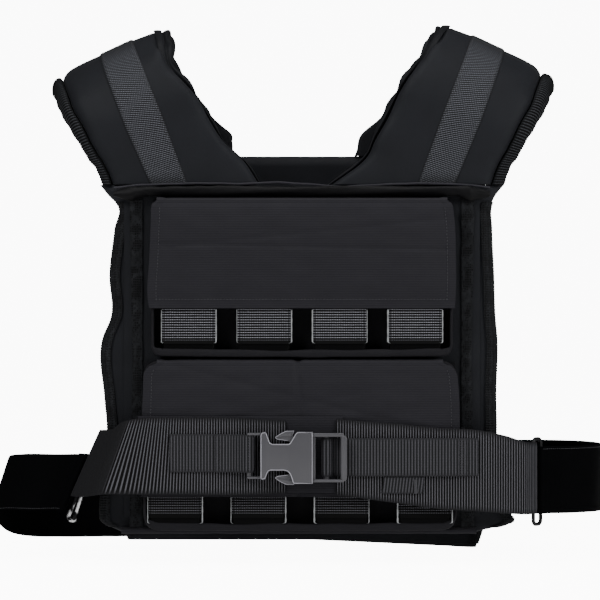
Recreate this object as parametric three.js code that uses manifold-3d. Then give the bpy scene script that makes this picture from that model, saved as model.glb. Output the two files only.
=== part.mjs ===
// Weighted vest with iron blocks in webbing sleeves, cloth flaps, padded shoulders and a buckled belt.
// Millimetres. +Z is up and the front faces -Y. The origin is midway between the shoulder pads, at the
// height of their undersides over the shoulders.
import * as THREE from 'three';
import { mergeVertices } from 'three/addons/utils/BufferGeometryUtils.js';
import Module from 'manifold-3d';

const wasm = await Module();
wasm.setup();

// Driving dimensions: cloth, foam and clearances
const gap = 0.3;
const hollowDepth = 110;
const padThickness = 18;
const coverWall = 2.5;
const meshWall = 1.2;
const pocketWall = 2.5;
const flapWall = 2.5;
const flapBulge = 3;
const flapFold = 1;

// Front and back panels
const panelHalfWidth = 196;
const panelHeight = 352;
const coverHalfWidth = 180;
const coverHeight = 336;
const coverCorner = 6;
const coverEdge = 0.6;
const backCoverMargin = 8;
const backCoverTopMargin = 2;
const backCornerDrop = 8;
const stripWidth = 13;
const stripWaist = 3;
const backHalfWidth = 186;
const backLongerBelow = 18;
const hemRadius = 3.5;
const hemSteps = 8;

// Shoulder pads: reach from the middle, height over the origin plane and how far they fall to the seams
const padOuterReach = 247;
const padInnerReach = 149;
const liningWall = 6;
const padFoam = 15;
const shoulderRise = 45;
const rightPadLift = 5;
const frontFall = 42;
const backFall = 7;
const rimLap = { left: 10.5, right: 13 };
const rimHeight = 18;
const gatherLap = { left: { crest: 12, foot: 1.5 }, right: { crest: 9, foot: 4.5 } };
const rimEdge = 3;
const liningEdge = 2;
const gatherDepth = 3;
const backInnerShare = { left: 0.5, right: 0.4 };
const gatherCount = 9;
const shoulderTape = 36;
const tapeWall = 1.5;

// Iron blocks and their sleeves
const blockWidth = 52;
const blockDepth = 20;
const blockHeight = 130;
const blockCorner = 4;
const sleeveWall = 1.5;
const sleeveHeight = 76;
const sleeveLift = 8;
const sleeveCorner = 2;
const blockEdge = 1.5;

// Compartments: width, the height of each and the pitch of its blocks
const pocketWidth = 306;
const upperPocketHeight = 156;
const lowerPocketHeight = 168;
const pocketGap = 4;
const lowerPocketExtra = 8;
const upperSideRoom = 9.15;
const lowerSideRoom = 3.45;
const pocketCorner = 8;
const pocketEdge = 0.8;
const upperFlapLength = 110;
const lowerFlapLength = 136;

// Yoke over the seam
const yokeRadius = 5.5;
const yokeEndRadius = 8.5;
const yokeHalfWidth = 190;
const yokeSquash = 0.7;
const pipingRadius = 1.2;

// Belt, straps, rings and side bands
const beltDrop = 274;
const beltHeight = 76;
const underlayWall = 2;
const underlayHalfWidth = 164;
const underlayShow = 3;
const underlayLift = 2;
const beltWall = 1.8;
const beltReach = 229;
const beltSetback = 34;
const foldBack = 20;
const ringWire = 4;
const ringPitch = 13;
const ringOverhang = 3;
const ringDrop = { left: 22, right: 8 };
const bandWall = 2;
const bandHeight = 72;
const bandReach = { left: 306, right: 309.5 };
const bandLap = 60;
const bandStart = { left: { drop: 25, height: 57 }, right: { drop: 5, height: 68 } };
const leftBandSag = 23;
const strapHeight = 38;
const strapWall = 1.6;
const strapReach = 132;
const leftStrapLift = 4;
const rightStrapReach = 176;
const upperLayerInset = 12;
const tailWidth = 40;
const tailHeight = 17;
const tailInset = 74;
const tailLean = 2;
const tagWidth = 3;
const tagWall = 0.8;

// Buckle
const socketLength = 65;
const buckleHeight = 51;
const socketDepth = 14;
const plugLength = 34;
const plugBar = 6;
const tineDepth = 5;
const barRadius = 3;
const buckleCentre = -18;
const notchLength = 31;
const notchDepth = 11;
const notchShift = 1;
const socketShift = 4;
const socketBar = 4;
const socketBarDepth = 6.5;
const socketWall = 6.5;
const socketCorner = 5;
const socketEdge = 2.2;
const slotReach = 11;
const strapRoom = 1;
const ladderInset = 13.5;
const plugSetback = 2;
const plugShoulder = 4;
const guideHeight = 8;
const tineInset = 4;
const tineInner = 8;

// Planes of the layers, from the hollow to the front
const hollowY = -hollowDepth / 2;
const padY = hollowY - padThickness;
const coverY = padY - gap - coverWall;
const pocketBackY = coverY - gap;
const sleeveDepth = blockDepth + 2 * (gap + sleeveWall);
const sleeveWidth = blockWidth + 2 * (gap + sleeveWall);
const pocketDepth = pocketWall + sleeveDepth + 2 * gap;
const pocketFrontY = pocketBackY - pocketDepth;
const flapY = pocketFrontY - gap;
const underlayY = flapY - flapWall - flapBulge - gap;
const beltY = underlayY - underlayWall - gap;
const strapY = beltY - beltWall - gap;
const buckleY = strapY - strapWall - gap;

// Heights, from the underside of the shoulder pads down
const archRadius = hollowDepth / 2 + liningWall + gap + padFoam;
const underside = liningWall + gap + padFoam;
const lowestCrest = underside - (shoulderRise + rightPadLift) / 2;
const seamZ = lowestCrest - archRadius - frontFall;
const backSeamZ = lowestCrest - archRadius - backFall;
const panelFoot = seamZ - gap - panelHeight;
const yokeTop = seamZ - pipingRadius - gap;
const upperTop = yokeTop - 2 * yokeRadius - 2 * gap - flapWall;
const upperFoot = upperTop - upperPocketHeight;
const lowerTop = upperFoot - pocketGap - flapWall - gap;
const lowerFoot = lowerTop - lowerPocketHeight;
const beltZ = seamZ - beltDrop;

const materials = {
  nylon: new THREE.MeshStandardMaterial({ color: 0x17171a, roughness: 0.85 }),
  mesh: new THREE.MeshStandardMaterial({ color: 0x1d1d20, roughness: 0.95 }),
  webbing: new THREE.MeshStandardMaterial({ color: 0x26262a, roughness: 0.8 }),
  band: new THREE.MeshStandardMaterial({ color: 0x121214, roughness: 0.9 }),
  iron: new THREE.MeshStandardMaterial({ color: 0x0c0c0e, roughness: 0.3, metalness: 0.4 }),
  plastic: new THREE.MeshStandardMaterial({ color: 0x3a3b40, roughness: 0.4 }),
  ring: new THREE.MeshStandardMaterial({ color: 0x2b2b2e, roughness: 0.3, metalness: 0.9 }),
};

const vest = new THREE.Group();
const lerp = THREE.MathUtils.lerp;
const smooth = THREE.MathUtils.smoothstep;

function add(name, geometry, material) {
  const mesh = new THREE.Mesh(geometry, material);
  mesh.name = name;
  vest.add(mesh);
}

// A geometry from points and triangles, turned so that its faces point out.
function closedGeometry(points, triangles) {
  let volume = 0;
  const cross = new THREE.Vector3();
  for (const [a, b, c] of triangles)
    volume += cross.crossVectors(points[a], points[b]).dot(points[c]);
  const index = triangles.flatMap(([a, b, c]) => (volume < 0 ? [a, c, b] : [a, b, c]));
  const geometry = new THREE.BufferGeometry().setFromPoints(points);
  geometry.setIndex(index);
  geometry.computeVertexNormals();
  return geometry;
}

// A closed solid through sections of equal point count. place(row, [across, out]) gives a point in space.
function loft(sections, place) {
  const count = sections[0].length;
  const points = sections.flatMap((section, row) => section.map((p) => place(row, p)));
  const triangles = [];
  for (let row = 0; row + 1 < sections.length; row++)
    for (let i = 0; i < count; i++) {
      const j = (i + 1) % count;
      const a = row * count;
      const b = a + count;
      triangles.push([a + i, a + j, b + j], [a + i, b + j, b + i]);
    }
  const last = (sections.length - 1) * count;
  const cap = (section) =>
    THREE.ShapeUtils.triangulateShape(section.map((p) => new THREE.Vector2(p[0], p[1])), []);
  const ccw = (section) =>
    THREE.ShapeUtils.area(section.map((p) => new THREE.Vector2(p[0], p[1]))) > 0;
  const turned = !ccw(sections[0]);
  for (const [a, b, c] of cap(sections[0])) triangles.push(turned ? [a, b, c] : [a, c, b]);
  for (const [a, b, c] of cap(sections[sections.length - 1]))
    triangles.push(turned ? [last + a, last + c, last + b] : [last + a, last + b, last + c]);
  return closedGeometry(points, triangles);
}

// A closed sheet between two grids of points, each a function of its column and row shares.
function sheet(columns, rows, front, back) {
  const across = columns + 1;
  const half = across * (rows + 1);
  const grid = (side) =>
    Array.from({ length: half }, (_, i) => side((i % across) / columns, Math.floor(i / across) / rows));
  const points = [...grid(front), ...grid(back)];
  const triangles = [];
  for (let row = 0; row < rows; row++)
    for (let column = 0; column < columns; column++) {
      const a = row * across + column;
      const [b, c, d] = [a + 1, a + across, a + across + 1];
      triangles.push([a, b, d], [a, d, c], [half + a, half + d, half + b], [half + a, half + c, half + d]);
    }
  const rim = (a, b) => triangles.push([a, half + b, b], [a, half + a, half + b]);
  for (let column = 0; column < columns; column++) {
    rim(column, column + 1);
    rim(rows * across + column + 1, rows * across + column);
  }
  for (let row = 0; row < rows; row++) {
    rim((row + 1) * across, row * across);
    rim(row * across + columns, (row + 1) * across + columns);
  }
  return closedGeometry(points, triangles);
}

// The value of a table at a share of its first column, in straight steps between its rows.
function along(table, share, column) {
  let i = 0;
  while (i < table.length - 2 && share > table[i + 1][0]) i++;
  const [low, high] = [table[i], table[i + 1]];
  const part = THREE.MathUtils.clamp((share - low[0]) / (high[0] - low[0]), 0, 1);
  return lerp(low[column], high[column], part);
}

// A section with rounded ends, from one end of a padded piece to the other.
function padSection(from, to, thickness, endSteps = 4, faceSteps = 3) {
  const radius = thickness / 2;
  const section = [];
  for (let i = 0; i <= endSteps; i++) {
    const turn = Math.PI * (1.5 - i / endSteps);
    section.push([from + radius + radius * Math.cos(turn), radius + radius * Math.sin(turn)]);
  }
  for (let i = 1; i < faceSteps; i++)
    section.push([lerp(from + radius, to - radius, i / faceSteps), thickness]);
  for (let i = 0; i <= endSteps; i++) {
    const turn = Math.PI * (0.5 - i / endSteps);
    section.push([to - radius + radius * Math.cos(turn), radius + radius * Math.sin(turn)]);
  }
  for (let i = 1; i < faceSteps; i++) section.push([lerp(to - radius, from + radius, i / faceSteps), 0]);
  return section;
}

function toManifold(geometry) {
  const bare = geometry.clone();
  bare.deleteAttribute('normal');
  bare.deleteAttribute('uv');
  const merged = mergeVertices(bare, 1e-4);
  const vertProperties = new Float32Array(merged.attributes.position.array);
  const triVerts = new Uint32Array(merged.index.array);
  return new wasm.Manifold(new wasm.Mesh({ numProp: 3, vertProperties, triVerts }));
}

function fromManifold(solid) {
  const { vertProperties, triVerts } = solid.getMesh();
  const geometry = new THREE.BufferGeometry();
  geometry.setAttribute('position', new THREE.BufferAttribute(new Float32Array(vertProperties), 3));
  geometry.setIndex(new THREE.BufferAttribute(new Uint32Array(triVerts), 1));
  geometry.computeVertexNormals();
  return geometry;
}

const join = (geometries) =>
  fromManifold(geometries.map(toManifold).reduce((all, next) => all.add(next)));
const cut = (geometry, tools) =>
  fromManifold(tools.map(toManifold).reduce((left, tool) => left.subtract(tool), toManifold(geometry)));

function box(x0, x1, y0, y1, z0, z1) {
  const geometry = new THREE.BoxGeometry(x1 - x0, y1 - y0, z1 - z0);
  return geometry.translate((x0 + x1) / 2, (y0 + y1) / 2, (z0 + z1) / 2);
}

// A closed loop of round wire through points that lie in one upright plane.
function wireLoop(route, normal, radius, sides = 6) {
  const points = route.flatMap((point, i) => {
    const before = route.at(i - 1);
    const after = route[(i + 1) % route.length];
    const side = after.clone().sub(before).cross(normal).normalize();
    return circle(radius, sides).map(([a, b]) =>
      point.clone().addScaledVector(normal, a).addScaledVector(side, b),
    );
  });
  const triangles = route.flatMap((_, row) =>
    Array.from({ length: sides }, (__, i) => {
      const a = row * sides;
      const b = ((row + 1) % route.length) * sides;
      const j = (i + 1) % sides;
      return [[a + i, a + j, b + j], [a + i, b + j, b + i]];
    }).flat(),
  );
  return closedGeometry(points, triangles);
}

// A plate with its outline in X and Z, extruded from its back plane to the front.
function plate(outline, backY, thickness, bevel = 0) {
  const geometry = new THREE.ExtrudeGeometry(outline, {
    depth: thickness - 2 * bevel,
    bevelEnabled: bevel > 0,
    bevelThickness: bevel,
    bevelSize: bevel,
    bevelOffset: -bevel,
    bevelSegments: 1,
    curveSegments: 3,
  });
  return geometry.rotateX(Math.PI / 2).translate(0, backY - bevel, 0);
}

function roundedRectangle(x0, x1, z0, z1, radius) {
  const shape = new THREE.Shape();
  shape.moveTo(x0 + radius, z0);
  shape.lineTo(x1 - radius, z0);
  shape.absarc(x1 - radius, z0 + radius, radius, -Math.PI / 2, 0);
  shape.lineTo(x1, z1 - radius);
  shape.absarc(x1 - radius, z1 - radius, radius, 0, Math.PI / 2);
  shape.lineTo(x0 + radius, z1);
  shape.absarc(x0 + radius, z1 - radius, radius, Math.PI / 2, Math.PI);
  shape.lineTo(x0, z0 + radius);
  shape.absarc(x0 + radius, z0 + radius, radius, Math.PI, Math.PI * 1.5);
  return shape;
}

// A band through upright sections. Each has its middle x and y, its top and bottom height and the lean
// of its foot along x.
function ribbon(sections, wall, rows = 3) {
  const outward = sections.map((_, i) => {
    const before = sections[Math.max(i - 1, 0)];
    const after = sections[Math.min(i + 1, sections.length - 1)];
    return new THREE.Vector2(after.y - before.y, before.x - after.x).normalize();
  });
  const side = (sign) => (u, v) => {
    const i = Math.round(u * (sections.length - 1));
    const s = sections[i];
    const reach = (sign * wall) / 2;
    const x = s.x + s.lean * v + reach * outward[i].x;
    return new THREE.Vector3(x, s.y + reach * outward[i].y, lerp(s.top, s.foot, v));
  };
  return sheet(sections.length - 1, rows, side(1), side(-1));
}

// Front panel

// Share of the panel's height below the seam, and the left and right edges as shares of its half width
const panelRows = [
  [0, 1.046, 1.046],
  [0.032, 1.0, 1.0],
  [0.057, 0.955, 0.98],
  [0.127, 0.968, 0.979],
  [0.257, 0.994, 0.989],
  [0.386, 0.989, 0.997],
  [0.435, 1.026, 1.005],
  [0.614, 1.02, 1.0],
  [0.704, 1.007, 1.003],
  [0.824, 1.03, 0.99],
  [0.926, 1.046, 1.025],
  [0.946, 1.046, 1.07],
  [0.974, 1.03, 1.08],
  [1, 0.932, 0.9],
];

function panelPad(rows, halfWidth, top, height, place) {
  const sections = rows.map(([, left, right]) =>
    padSection(-left * halfWidth, right * halfWidth, padThickness),
  );
  return loft(sections, (row, [x, out]) => place(x, out, top - rows[row][0] * height));
}

add(
  'front_pad',
  panelPad(panelRows, panelHalfWidth, seamZ - gap, panelHeight, (x, out, z) =>
    new THREE.Vector3(x, hollowY - out, z)),
  materials.mesh,
);

const coverTop = seamZ - gap;
const coverFoot = coverTop - coverHeight;
add(
  'front_cover',
  plate(
    roundedRectangle(-coverHalfWidth, coverHalfWidth, coverFoot, coverTop, coverCorner),
    padY - gap,
    coverWall,
    coverEdge,
  ),
  materials.nylon,
);

const pocketLeft = -pocketWidth / 2;
const pocketRight = pocketWidth / 2;
const lowerLeft = pocketLeft - lowerPocketExtra;
const lowerRight = pocketRight + lowerPocketExtra / 2;

// Mesh strips from the pocket's side, leaning out towards the belt
const stripTop = upperTop;
const stripFoot = lowerFoot;
for (const [side, sign] of [['left', -1], ['right', 1]]) {
  const inner = sign * (pocketWidth / 2 + lowerPocketExtra + gap);
  const outer = inner + sign * stripWidth;
  const shape = new THREE.Shape([
    new THREE.Vector2(inner, stripTop),
    new THREE.Vector2(outer, stripTop),
    new THREE.Vector2(outer - sign * stripWaist, lerp(stripTop, stripFoot, 0.5)),
    new THREE.Vector2(outer, stripFoot),
    new THREE.Vector2(inner, stripFoot),
  ]);
  add('mesh_strip_' + side, plate(shape, coverY - gap, meshWall), materials.mesh);
}

add(
  'front_hem',
  loft(
    Array.from({ length: hemSteps + 1 }, () => circle(hemRadius, 8)),
    (row, [a, b]) => {
      const share = row / hemSteps;
      const x = lerp(-panelRows.at(-1)[1], panelRows.at(-1)[2], share) * panelHalfWidth;
      return new THREE.Vector3(x, padY - gap - hemRadius + a, lowerFoot - gap - hemRadius + b);
    },
  ),
  materials.nylon,
);

// Yoke along the seam: share across, and share of the way from its radius in the middle to its end radius
const yokeRows = [
  [0, 1],
  [0.05, 1],
  [0.09, 0],
  [0.3, 0],
  [0.5, 0],
  [0.7, 0],
  [0.91, 0],
  [0.95, 1],
  [1, 1],
];

function circle(radius, sides, squash = 1) {
  return Array.from({ length: sides }, (_, i) => {
    const turn = (2 * Math.PI * i) / sides;
    return [radius * Math.cos(turn) * squash, radius * Math.sin(turn)];
  });
}

add(
  'yoke_band',
  loft(
    yokeRows.map(([, grown]) => circle(lerp(yokeRadius, yokeEndRadius, grown), 8, yokeSquash)),
    (row, [a, b]) => {
      const [share, grown] = yokeRows[row];
      const radius = lerp(yokeRadius, yokeEndRadius, grown);
      const x = lerp(-yokeHalfWidth, yokeHalfWidth, share);
      return new THREE.Vector3(x, coverY - gap - yokeSquash * yokeEndRadius + a, yokeTop - radius + b);
    },
  ),
  materials.nylon,
);
const pipingY = -archRadius - tapeWall - 2 * gap - pipingRadius;
add(
  'yoke_piping',
  loft(
    yokeRows.map(() => circle(pipingRadius, 6)),
    (row, [a, b]) => {
      const x = lerp(-yokeHalfWidth, yokeHalfWidth, yokeRows[row][0]);
      return new THREE.Vector3(x, pipingY + a, seamZ + b);
    },
  ),
  materials.webbing,
);

// Shoulders

// Turn from the crest in degrees, share of the fall below the arch, the outer edge as a share of the
// pad's outer reach, the left and right inner edges as shares of its inner reach, and the middle of the
// tape as a share of the pad's width from its outer edge
const shoulderRows = [
  [90, 1, 0.775, 0.29, 0.204, 0.37],
  [90, 0.73, 0.792, 0.393, 0.424, 0.4],
  [90, 0.5, 0.812, 0.533, 0.502, 0.44],
  [90, 0.25, 0.84, 0.628, 0.59, 0.47],
  [90, 0, 0.865, 0.705, 0.658, 0.5],
  [75, 0, 0.9, 0.81, 0.733, 0.55],
  [60, 0, 0.94, 0.913, 0.817, 0.58],
  [45, 0, 0.962, 0.953, 0.889, 0.58],
  [30, 0, 0.982, 0.97, 0.94, 0.57],
  [15, 0, 0.995, 0.99, 0.98, 0.56],
  [0, 0, 1, 1, 1, 0.56],
];

// The whole arch, front seam to back seam. facing is -1 in front and 1 behind.
const archRows = [
  ...shoulderRows.map((row) => [-1, ...row]),
  ...shoulderRows.slice(0, -1).reverse().map((row) => [1, ...row]),
];

// The outer and inner edge of a pad on each row of its arch
function archEdges(side) {
  return archRows.map(([facing, , , outerShare, leftInner, rightInner]) => {
    const innerShare = side === 'left' ? leftInner : rightInner;
    const share = facing < 0 ? innerShare : Math.max(innerShare, backInnerShare[side]);
    return [outerShare * padOuterReach, share * padInnerReach];
  });
}

function archPlacer(side, sign) {
  const edges = archEdges(side);
  const lift = sign > 0 ? rightPadLift / 2 : -rightPadLift / 2;
  const outerCrest = underside - shoulderRise / 2 + lift;
  const innerCrest = underside + shoulderRise / 2 + lift;
  return (row, x, radius) => {
    const [facing, turn, fall] = archRows[row];
    const angle = THREE.MathUtils.degToRad(turn);
    const [outer, inner] = edges[row];
    const across = (outer - x) / (outer - inner);
    const crest = lerp(outerCrest, innerCrest, across);
    const foot = facing < 0 ? seamZ : backSeamZ;
    const y = facing * radius * Math.sin(angle);
    const arch = crest - archRadius;
    const z = fall > 0 ? lerp(arch, foot, fall) : arch + radius * Math.cos(angle);
    return new THREE.Vector3(sign * x, y, z);
  };
}

const padInside = archRadius - padFoam;
const liningInside = hollowDepth / 2;
for (const [side, sign] of [['left', -1], ['right', 1]]) {
  const place = archPlacer(side, sign);
  const edges = archEdges(side);
  add(
    'shoulder_pad_' + side,
    loft(
      edges.map(([outer, inner]) => padSection(inner, outer, padFoam, 3, 2)),
      (row, [x, out]) => place(row, x, padInside + out),
    ),
    materials.nylon,
  );
  const lapAt = (row) => {
    const { crest, foot } = gatherLap[side];
    const wave = Math.sin((Math.PI * gatherCount * 2 * row) / (archRows.length - 1));
    return lerp(crest, foot, archRows[row][1] / 90) + gatherDepth * wave;
  };
  add(
    'shoulder_lining_' + side,
    loft(
      edges.map(([outer, inner], row) => {
        const low = Math.max(inner - Math.max(lapAt(row), gap), gap);
        const high = outer + rimLap[side];
        return [
          [high, liningEdge],
          [high, rimHeight - rimEdge],
          [high - rimEdge, rimHeight],
          [outer + gap, rimHeight],
          [outer + gap, liningWall],
          [inner - gap, liningWall],
          [low, liningWall - liningEdge / 2],
          [low, liningEdge],
          [low + rimEdge, 0],
          [high - rimEdge, 0],
        ];
      }),
      (row, [x, out]) => place(row, x, liningInside + out),
    ),
    materials.mesh,
  );
  add(
    'shoulder_webbing_' + side,
    loft(
      archRows.map((archRow, row) => {
        const middle = lerp(edges[row][0], edges[row][1], archRow[6]);
        const [from, to] = [middle - shoulderTape / 2, middle + shoulderTape / 2];
        return [[from, 0], [from, tapeWall], [to, tapeWall], [to, 0]];
      }),
      (row, [x, out]) => place(row, x, archRadius + gap + out),
    ),
    materials.webbing,
  );
}

// Compartments, blocks and sleeves

function pocket(left, right, top, foot) {
  const outline = roundedRectangle(left, right, foot, top, pocketCorner);
  const outer = plate(outline, pocketBackY, pocketDepth, pocketEdge);
  const inner = roundedRectangle(
    left + pocketWall,
    right - pocketWall,
    foot + pocketWall,
    top - pocketWall,
    pocketCorner - pocketWall,
  );
  return cut(outer, [plate(inner, pocketBackY - pocketWall, pocketDepth)]);
}

add('upper_compartment', pocket(pocketLeft, pocketRight, upperTop, upperFoot), materials.nylon);
add('lower_compartment', pocket(lowerLeft, lowerRight, lowerTop, lowerFoot), materials.nylon);

const sleeveBackY = pocketBackY - pocketWall - gap;
const blockBackY = sleeveBackY - sleeveWall - gap;

function block(centre, foot) {
  const [x0, x1] = [centre - blockWidth / 2, centre + blockWidth / 2];
  const outline = roundedRectangle(x0, x1, foot, foot + blockHeight, blockCorner);
  return plate(outline, blockBackY, blockDepth, blockEdge);
}

function sleeve(centre, foot) {
  const outline = (reach) => {
    const [halfWidth, halfDepth] = [blockWidth / 2 + reach, blockDepth / 2 + reach];
    return roundedRectangle(centre - halfWidth, centre + halfWidth, -halfDepth, halfDepth, sleeveCorner);
  };
  const shape = outline(gap + sleeveWall);
  shape.holes.push(outline(gap));
  const geometry = new THREE.ExtrudeGeometry(shape, {
    depth: sleeveHeight,
    bevelEnabled: false,
    curveSegments: 2,
  });
  return geometry.translate(0, blockBackY - blockDepth / 2, foot);
}

for (const [row, left, right, sideRoom, foot] of [
  ['upper', pocketLeft, pocketRight, upperSideRoom, upperFoot],
  ['lower', lowerLeft, lowerRight, lowerSideRoom, lowerFoot],
])
  for (let i = 0; i < 4; i++) {
    const edge = pocketWall + sideRoom + sleeveWidth / 2;
    const centre = lerp(left + edge, right - edge, i / 3);
    const blockFoot = foot + pocketWall + gap;
    add(row + '_block_' + (i + 1), block(centre, blockFoot), materials.iron);
    add(row + '_sleeve_' + (i + 1), sleeve(centre, blockFoot + sleeveLift), materials.webbing);
  }

// Flaps: from the cover, over the top of the compartment and down its front.
// Share down the front, and the left and right edges as shares of the half width
const flapRows = [
  [0, 0.975, 0.98],
  [0.2, 0.985, 1.0],
  [0.55, 1.0, 1.008],
  [0.9, 1.01, 1.005],
  [1, 0.99, 0.995],
];

function flap(left, right, top, length) {
  const foldSteps = 3;
  const frontSteps = 10;
  const rows = 1 + foldSteps + frontSteps;
  const fold = flapFold;
  const middle = (left + right) / 2;
  const half = (right - left) / 2;
  const startY = coverY - gap;
  const profile = [];
  profile.push({ y: startY, z: top + gap, ny: 0, nz: 1, down: 0 });
  for (let i = 0; i <= foldSteps; i++) {
    const turn = (Math.PI / 2) * (i / foldSteps);
    const [ny, nz] = [-Math.sin(turn), Math.cos(turn)];
    profile.push({ y: flapY + fold + fold * ny, z: top + gap - fold + fold * nz, ny, nz, down: 0 });
  }
  for (let i = 1; i <= frontSteps; i++) {
    const down = i / frontSteps;
    profile.push({ y: flapY, z: top + gap - fold - down * (length - fold), ny: -1, nz: 0, down });
  }
  const point = (out) => (u, v) => {
    const p = profile[Math.round(v * rows)];
    const edgeLeft = middle - half * along(flapRows, p.down, 1);
    const edgeRight = middle + half * along(flapRows, p.down, 2);
    const sideways = smooth(Math.min(u, 1 - u), 0, 0.12);
    const border = sideways * smooth(Math.min(p.down, 1 - p.down), 0, 0.25);
    const bulge = p.down > 0 ? flapBulge * border : 0;
    const reach = out * flapWall + bulge;
    return new THREE.Vector3(lerp(edgeLeft, edgeRight, u), p.y + p.ny * reach, p.z + p.nz * reach);
  };
  return sheet(14, rows, point(1), point(0));
}

add('upper_flap', flap(pocketLeft, pocketRight, upperTop, upperFlapLength), materials.nylon);
add('lower_flap', flap(lowerLeft, lowerRight, lowerTop, lowerFlapLength), materials.nylon);

// Belt

const beltTop = beltZ + beltHeight / 2;
const beltFoot = beltZ - beltHeight / 2;
add(
  'belt_underlay',
  ribbon(
    [-underlayHalfWidth, -underlayHalfWidth / 2, 0, underlayHalfWidth / 4].map((x) => ({
      x,
      y: underlayY - underlayWall / 2,
      top: beltTop + underlayShow,
      foot: beltFoot + underlayLift,
      lean: 0,
    })),
    underlayWall,
  ),
  materials.nylon,
);

// Share of the belt's reach, the set-back of its middle line, the drop of its top and foot as shares of
// its height, and the lean of its foot as a share of its height
const beltRows = {
  left: [
    [0.07, 0, 0.02, -0.02, 0],
    [0.35, 0, -0.02, 0.0, 0],
    [0.69, 0, -0.02, -0.01, 0],
    [0.75, 0, 0.01, -0.01, 0.34],
    [0.79, 0.12, 0.05, 0.01, 0.36],
    [0.82, 0.34, 0.12, 0.03, 0.38],
    [0.858, 0.62, 0.16, 0.04, 0.39],
  ],
  right: [
    [0.15, 0, 0.0, 0.0, 0],
    [0.4, 0, 0.06, 0.1, 0],
    [0.62, 0, 0.12, 0.19, 0],
    [0.75, 0, 0.14, 0.21, 0],
    [0.89, 0.2, 0.22, 0.25, 0],
    [0.995, 0.5, 0.32, 0.27, 0],
  ],
};

// Sections that carry a band on round a ring's leg and back. heading is the way the band runs in plan.
function foldRound(leg, heading, turnSide, wall, like, length) {
  const radius = ringWire / 2 + gap + wall / 2;
  const ahead = new THREE.Vector2(Math.cos(heading), Math.sin(heading));
  const outward = new THREE.Vector2(ahead.y, -ahead.x).multiplyScalar(turnSide);
  const steps = 6;
  const sections = [];
  const put = (a, o) =>
    sections.push({
      ...like,
      x: leg.x + ahead.x * a + outward.x * o,
      y: leg.y + ahead.y * a + outward.y * o,
    });
  put(-ringWire, radius);
  for (let i = 0; i <= steps; i++) {
    const turn = (Math.PI * i) / steps;
    put(radius * Math.sin(turn), radius * Math.cos(turn));
  }
  put(-length, -radius);
  return sections;
}

function beltSections(rows, sign) {
  return rows.map(([share, setback, topDrop, footDrop, lean]) => ({
    x: sign * share * beltReach,
    y: beltY - beltWall / 2 + beltSetback * setback,
    top: beltTop - topDrop * beltHeight,
    foot: beltFoot - footDrop * beltHeight,
    lean: sign * lean * beltHeight,
  }));
}

// The ring at the end of each half of the belt, and the way that the band runs there
const ringHeading = { left: Math.PI - 1.0, right: 0.9 };
function ringLegs(side, sign) {
  const last = beltSections(beltRows[side], sign).at(-1);
  const heading = ringHeading[side];
  const radius = ringWire / 2 + gap + beltWall / 2;
  const ahead = new THREE.Vector2(Math.cos(heading), Math.sin(heading));
  const inward = new THREE.Vector2(-ahead.y, ahead.x).multiplyScalar(sign);
  const start = new THREE.Vector2(last.x, last.y).addScaledVector(ahead, ringPitch);
  const inner = start.clone().addScaledVector(inward, radius);
  const outer = inner.clone().addScaledVector(ahead, ringPitch);
  return { inner, outer, heading, like: { top: last.top, foot: last.foot, lean: last.lean } };
}

for (const [side, sign] of [['left', -1], ['right', 1]]) {
  const ring = ringLegs(side, sign);
  const sections = beltSections(beltRows[side], sign);
  sections.push(...foldRound(ring.inner, ring.heading, sign, beltWall, ring.like, foldBack));
  add('belt_' + side, ribbon(sections, beltWall, 2), materials.webbing);

  // A closed loop of wire with round ends, its legs leaning as the belt's end does
  const { top, foot, lean } = ring.like;
  const high = top + ringOverhang;
  const low = foot - ringOverhang - ringDrop[side];
  const corner = ringPitch / 3;
  const at = (share, z) => {
    const leg = ring.inner.clone().lerp(ring.outer, share / ringPitch);
    return new THREE.Vector3(leg.x + (lean * (top - z)) / (top - foot), leg.y, z);
  };
  const route = [];
  for (const [across, z, start] of [
    [ringPitch - corner, high - corner, 0],
    [corner, high - corner, 0.5],
    [corner, low + corner, 1],
    [ringPitch - corner, low + corner, 1.5],
  ])
    for (let i = 0; i <= 3; i++) {
      const turn = Math.PI * (start + i / 6);
      route.push(at(across + corner * Math.cos(turn), z + corner * Math.sin(turn)));
    }
  const normal = new THREE.Vector3(-Math.sin(ring.heading), Math.cos(ring.heading), 0);
  add('ring_' + side, wireLoop(route, normal, ringWire / 2), materials.ring);
}

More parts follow.
